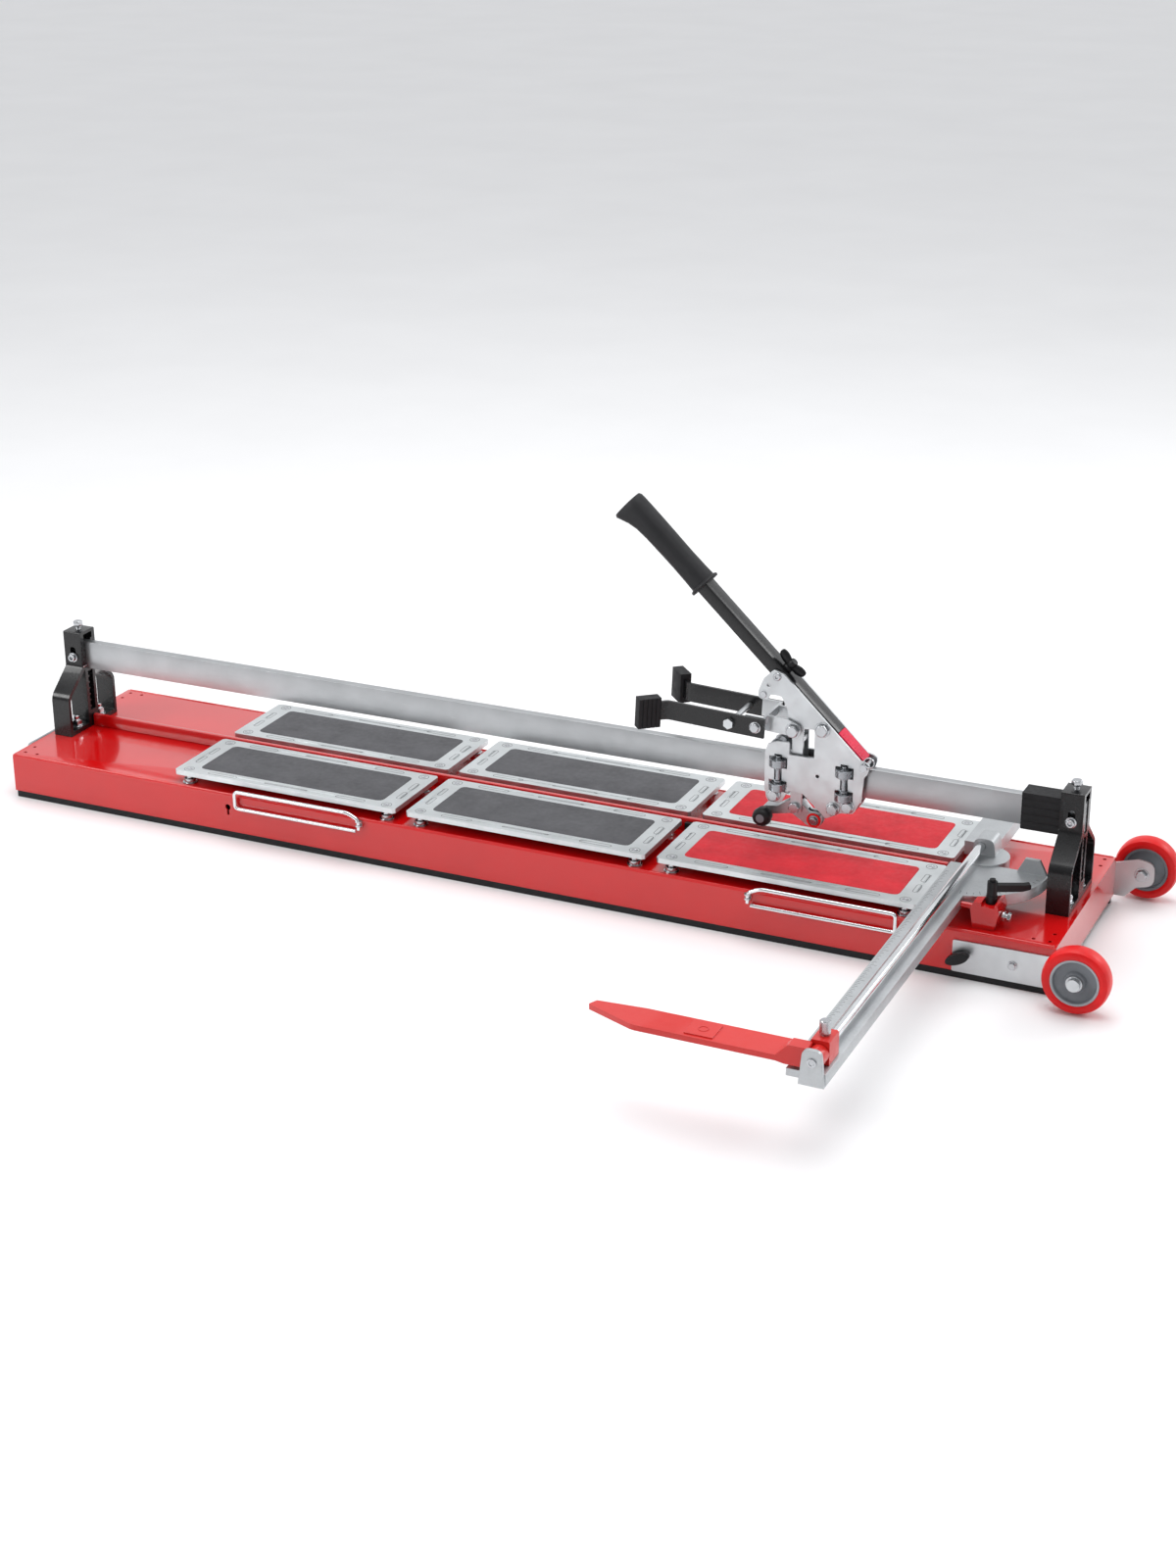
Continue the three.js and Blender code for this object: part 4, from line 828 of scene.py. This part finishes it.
def quadrant_marks():
    """Marks every 5 degrees on the quadrant's rim, every third one longer."""
    centre = pivot("fence_swing")
    rim, half_line = 112 * MM, 0.3 * MM
    bm = bmesh.new()
    for degrees in range(-82, -8, 5):
        turned = Matrix.Rotation(math.radians(degrees), 4, "Z")
        start = rim - (10 if degrees % 15 == 8 else 6) * MM
        mark = [(start, -half_line), (rim, -half_line), (rim, half_line), (start, half_line)]
        place = Matrix.Translation((centre.x, centre.y, QUADRANT_TOP)) @ turned
        add_prism(bm, mark, -0.1 * MM, 0.08 * MM, place)
    piece("quadrant_marks", bm, INK, "fence")


def clamp_block_bolts():
    """Bolt and lock nut that stand out of the clamp block's end."""
    face = Vector((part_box("fence_clamp_block")[1].x, -140 * MM, 95 * MM))
    hexagon, height = 7.4 * MM, 5.5 * MM
    bm = bmesh.new()
    add_hex_bolt(bm, face, X, radius=hexagon, height=height, washer=0)
    add_cylinder(bm, 4 * MM, 4 * MM, 10 * MM, towards(face, X))
    add_hex_bolt(bm, face + X * 9 * MM, X, radius=hexagon, height=height, washer=0, turn=0.7)
    piece("clamp_block_bolts", bm, BOLT_ZINC, "bed", bevel=0.35 * MM)


def slider_screw():
    """Knurled thumb screw on the slider."""
    low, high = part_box("slider_screw")
    middle = (low + high) / 2
    place = towards(Vector((middle.x, middle.y, low.z)))
    height = high.z - low.z
    neck, crown, teeth = 2.8 * MM, 1.5 * MM, 36
    bm = bmesh.new()
    add_cylinder(bm, 4.6 * MM, 0, neck, place, 28)
    valleys, ridges = polygon(teeth * 2, 7.1 * MM), polygon(teeth * 2, 7.5 * MM)
    knurl = [(ridges if i % 2 else valleys)[i] for i in range(teeth * 2)]
    add_prism(bm, knurl, neck, height - 1.4 * MM, place)
    top = [(0, height - crown), (6.8 * MM, height - crown), (5.8 * MM, height), (0, height)]
    add_lathe(bm, top, place, 36)
    piece("thumb_screw", bm, BOLT_ZINC, "slider_screw", replaces=("slider_screw",))


def stop_arm_mark():
    """Round boss mark on the raised pad of the stop arm."""
    low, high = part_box("stop_arm")
    centre = Vector((ARM_BOSS_X, (low.y + high.y) / 2, ARM_PAD_TOP))
    bm = bmesh.new()
    add_ring(bm, in_mm([(5.6, -0.2), (7.4, -0.2), (7.4, 0.6), (5.6, 0.6)]), towards(centre), 40)
    piece("stop_arm_boss", bm, ARM_PAINT, "stop_arm", bevel=0.2 * MM)


# ------------------------------------------------------------------ wires, rod and small bed pieces
def arc_corner(before, corner, after, radius, steps=8):
    start = corner + (before - corner).normalized() * radius
    end = corner + (after - corner).normalized() * radius
    shares = [i / steps for i in range(steps + 1)]
    return [start.lerp(corner, share).lerp(corner.lerp(end, share), share) for share in shares]


def bent_wire(points, bend):
    """Points of a wire with rounded corners."""
    points = [Vector(p) for p in points]
    route = [points[0]]
    for before, corner, after in zip(points, points[1:], points[2:]):
        route += arc_corner(before, corner, after, bend)
    return route + [points[-1]]


def support_wire(name, side):
    """Chrome wire loop on the front wall; its upright end is the hinge."""
    hinge = pivot(f"{name.replace('wire_', '')}_swing")
    low, high, reach = 57 * MM, 86 * MM, 231 * MM
    corners = [(5, low), (reach / MM, low), (reach / MM, high), (20, high), (0, 77 * MM), (0, 60 * MM)]
    points = [(hinge.x + side * offset * MM, hinge.y, height) for offset, height in corners]
    bm = bmesh.new()
    add_path(bm, bent_wire(points, 7 * MM), 3 * MM, 16)
    piece(f"{name}_rod", bm, CHROME, BODY_OF[name], replaces=(name,))


def support_eyes():
    """Zinc eyes on the front wall that the supports hinge in."""
    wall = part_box("bed_pan")[0].y
    eye = in_mm([(3.3, 0), (5, 0), (5, 2.4), (3.3, 2.4)])
    bm = bmesh.new()
    for joint in ("support_left_swing", "support_right_swing"):
        hinge = pivot(joint)
        for height in (66 * MM, 73 * MM):
            add_ring(bm, eye, towards((hinge.x, hinge.y, height)), 28)
        near, far = (hinge.x - 4 * MM, wall - 2.6 * MM, 64 * MM), (hinge.x + 4 * MM, wall - 0.1 * MM, 74.6 * MM)
        add_box(bm, near, far)
    piece("support_eyes", bm, ZINC, "bed")


def carry_handle():
    low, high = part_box("carry_handle")
    radius, bend = 4 * MM, 6 * MM
    x, z, half = low.x + radius, (low.z + high.z) / 2, high.y - radius
    points = [(high.x, -half, z), (x, -half, z), (x, half, z), (high.x, half, z)]
    bm = bmesh.new()
    add_path(bm, bent_wire(points, bend), radius, 18)
    piece("carry_bar", bm, RAIL_STEEL, "bed", replaces=("carry_handle",))


def pan_lips():
    """Rolled lips along the long edges of the pan's top."""
    low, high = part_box("bed_pan")
    bm = bmesh.new()
    for side in (-1, 1):
        y = side * (high.y - 4.5 * MM)
        place = towards((low.x + 4 * MM, y, high.z - 0.9 * MM), X)
        length = high.x - low.x - 8 * MM
        add_lathe(bm, [(0, 0), (2.2 * MM, 0.6 * MM), (2.2 * MM, length - 0.6 * MM), (0, length)], place, 20)
    piece("pan_lips", bm, RED_PAINT, "bed")


def ridge_block():
    """Black spacer on the breaking ridge between the middle and the right tables."""
    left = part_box("table_front_middle")[1].x
    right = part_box("table_front_right")[0].x
    bed_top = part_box("bed_pan")[1].z
    bm = bmesh.new()
    for side in (-1, 1):
        y0, y1 = sorted((side * 4.4 * MM, side * 13 * MM))
        add_box(bm, (left + 2 * MM, y0, bed_top + 0.2 * MM), (right - 2 * MM, y1, bed_top + 17 * MM))
    piece("ridge_spacer", bm, BLACK_PLASTIC, "bed", bevel=1 * MM)


def fence_rod():
    low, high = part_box("fence_rod")
    radius, half = (high.x - low.x) / 2, (high.y - low.y) / 2
    chamfer = 0.8 * MM
    profile = [(0, -half), (radius - chamfer, -half), (radius, -half + chamfer)]
    profile += [(radius, half - chamfer), (radius - chamfer, half), (0, half)]
    bm = bmesh.new()
    add_lathe(bm, profile, towards((low + high) / 2, Y), 64)
    piece("polished_rod", bm, CHROME, "fence", replaces=("fence_rod",))


# ------------------------------------------------------------------ stage
def photo_camera():
    yaw, pitch, roll = -0.4348, 0.39407, -0.0053
    forward = Vector((math.sin(yaw) * math.cos(pitch), math.cos(yaw) * math.cos(pitch), -math.sin(pitch)))
    level = Vector((math.cos(yaw), -math.sin(yaw), 0))
    above = level.cross(forward)
    right = level * math.cos(roll) + above * math.sin(roll)
    up = above * math.cos(roll) - level * math.sin(roll)
    data = bpy.data.cameras.new("camera")
    data.sensor_width = 36
    data.lens = 58.37
    data.clip_end = 50
    camera = bpy.data.objects.new("camera", data)
    bpy.context.scene.collection.objects.link(camera)
    rotation = Matrix((right, up, -forward)).transposed().to_4x4()
    camera.matrix_world = Matrix.Translation((1.6714, -3.4019, 1.6849)) @ rotation
    bpy.context.scene.camera = camera


def floor():
    reach = 40
    corners = [(-reach, -reach, 0), (reach, -reach, 0), (reach, reach, 0), (-reach, reach, 0)]
    mesh = bpy.data.meshes.new("floor")
    mesh.from_pydata(corners, [], [(0, 1, 2, 3)])
    obj = bpy.data.objects.new("floor", mesh)
    bpy.context.scene.collection.objects.link(obj)
    n = Nodes("studio floor")
    n.colour(n.remap(n.noise(2), 0, 1), (0.9, 0.9, 0.905, 1), (0.93, 0.93, 0.935, 1))
    n.constants(Roughness=0.55)
    mesh.materials.append(n.material)


def area_light(name, place, target, size, power):
    data = bpy.data.lights.new(name, "AREA")
    data.shape = "RECTANGLE"
    data.size, data.size_y = size
    data.energy = power
    light = bpy.data.objects.new(name, data)
    bpy.context.scene.collection.objects.link(light)
    direction = Vector(target) - Vector(place)
    light.matrix_world = Matrix.Translation(place) @ direction.to_track_quat("-Z", "Y").to_matrix().to_4x4()


def lights():
    world = bpy.data.worlds.new("studio")
    world.use_nodes = True
    nodes, links = world.node_tree.nodes, world.node_tree.links
    background = nodes["Background"]
    background.inputs["Color"].default_value = (0.97, 0.98, 1.0, 1)
    place = nodes.new("ShaderNodeTexCoord")
    split = nodes.new("ShaderNodeSeparateXYZ")
    ramp = nodes.new("ShaderNodeMapRange")
    for name, number in (("From Min", -0.95), ("From Max", 0.15), ("To Min", 0.26), ("To Max", 0.9)):
        ramp.inputs[name].default_value = number
    links.new(place.outputs["Generated"], split.inputs["Vector"])
    links.new(split.outputs["Y"], ramp.inputs["Value"])
    links.new(ramp.outputs["Result"], background.inputs["Strength"])
    bpy.context.scene.world = world
    area_light("overhead", (0.2, 0.2, 3.2), (0, 0, 0), (3.6, 2.2), 62)
    area_light("left_front", (-2.8, -2.6, 2.2), (-0.2, 0, 0.1), (1.6, 1.4), 60)
    area_light("right_rear", (2.6, 2.4, 1.9), (0.3, 0, 0.1), (1.4, 1.2), 24)


# ------------------------------------------------------------------ assembly
photo_camera()
floor()
lights()
bpy.context.scene.view_settings.view_transform = "Standard"

for finish, nodes in NODE_FINISH.items():
    for node in nodes:
        finish_node(node, finish)
for row, side in (("front", -1), ("rear", 1)):
    wheel_pieces(row, side)
    wheel_bracket(row, side)
    for place in ("left", "right"):
        side_bearing(f"side_bearing_{row}_{place}")
for place in ("left", "right"):
    lower_roller(f"lower_roller_{place}")
upper_rollers()
carriage_bolts()
pivot_bolt("lever_pivot_bolt", 20.5 * MM)
pivot_bolt("breaker_pivot_bolt", 25.5 * MM)
lever_grip()
lever_end_cap()
wing_knob()
scoring_wheel()
rocker_knob()
lock_ring_pin()
breaker_bolts()
post_fittings("post_left", -1)
post_fittings("post_right", 1)
for table in TABLES:
    table_pieces(table)
fence_scale()
fence_end()
quadrant_marks()
clamp_block_bolts()
slider_screw()
stop_arm_mark()
fence_rod()
support_wire("support_wire_left", -1)
support_wire("support_wire_right", 1)
support_eyes()
carry_handle()
ridge_block()
pan_lips()
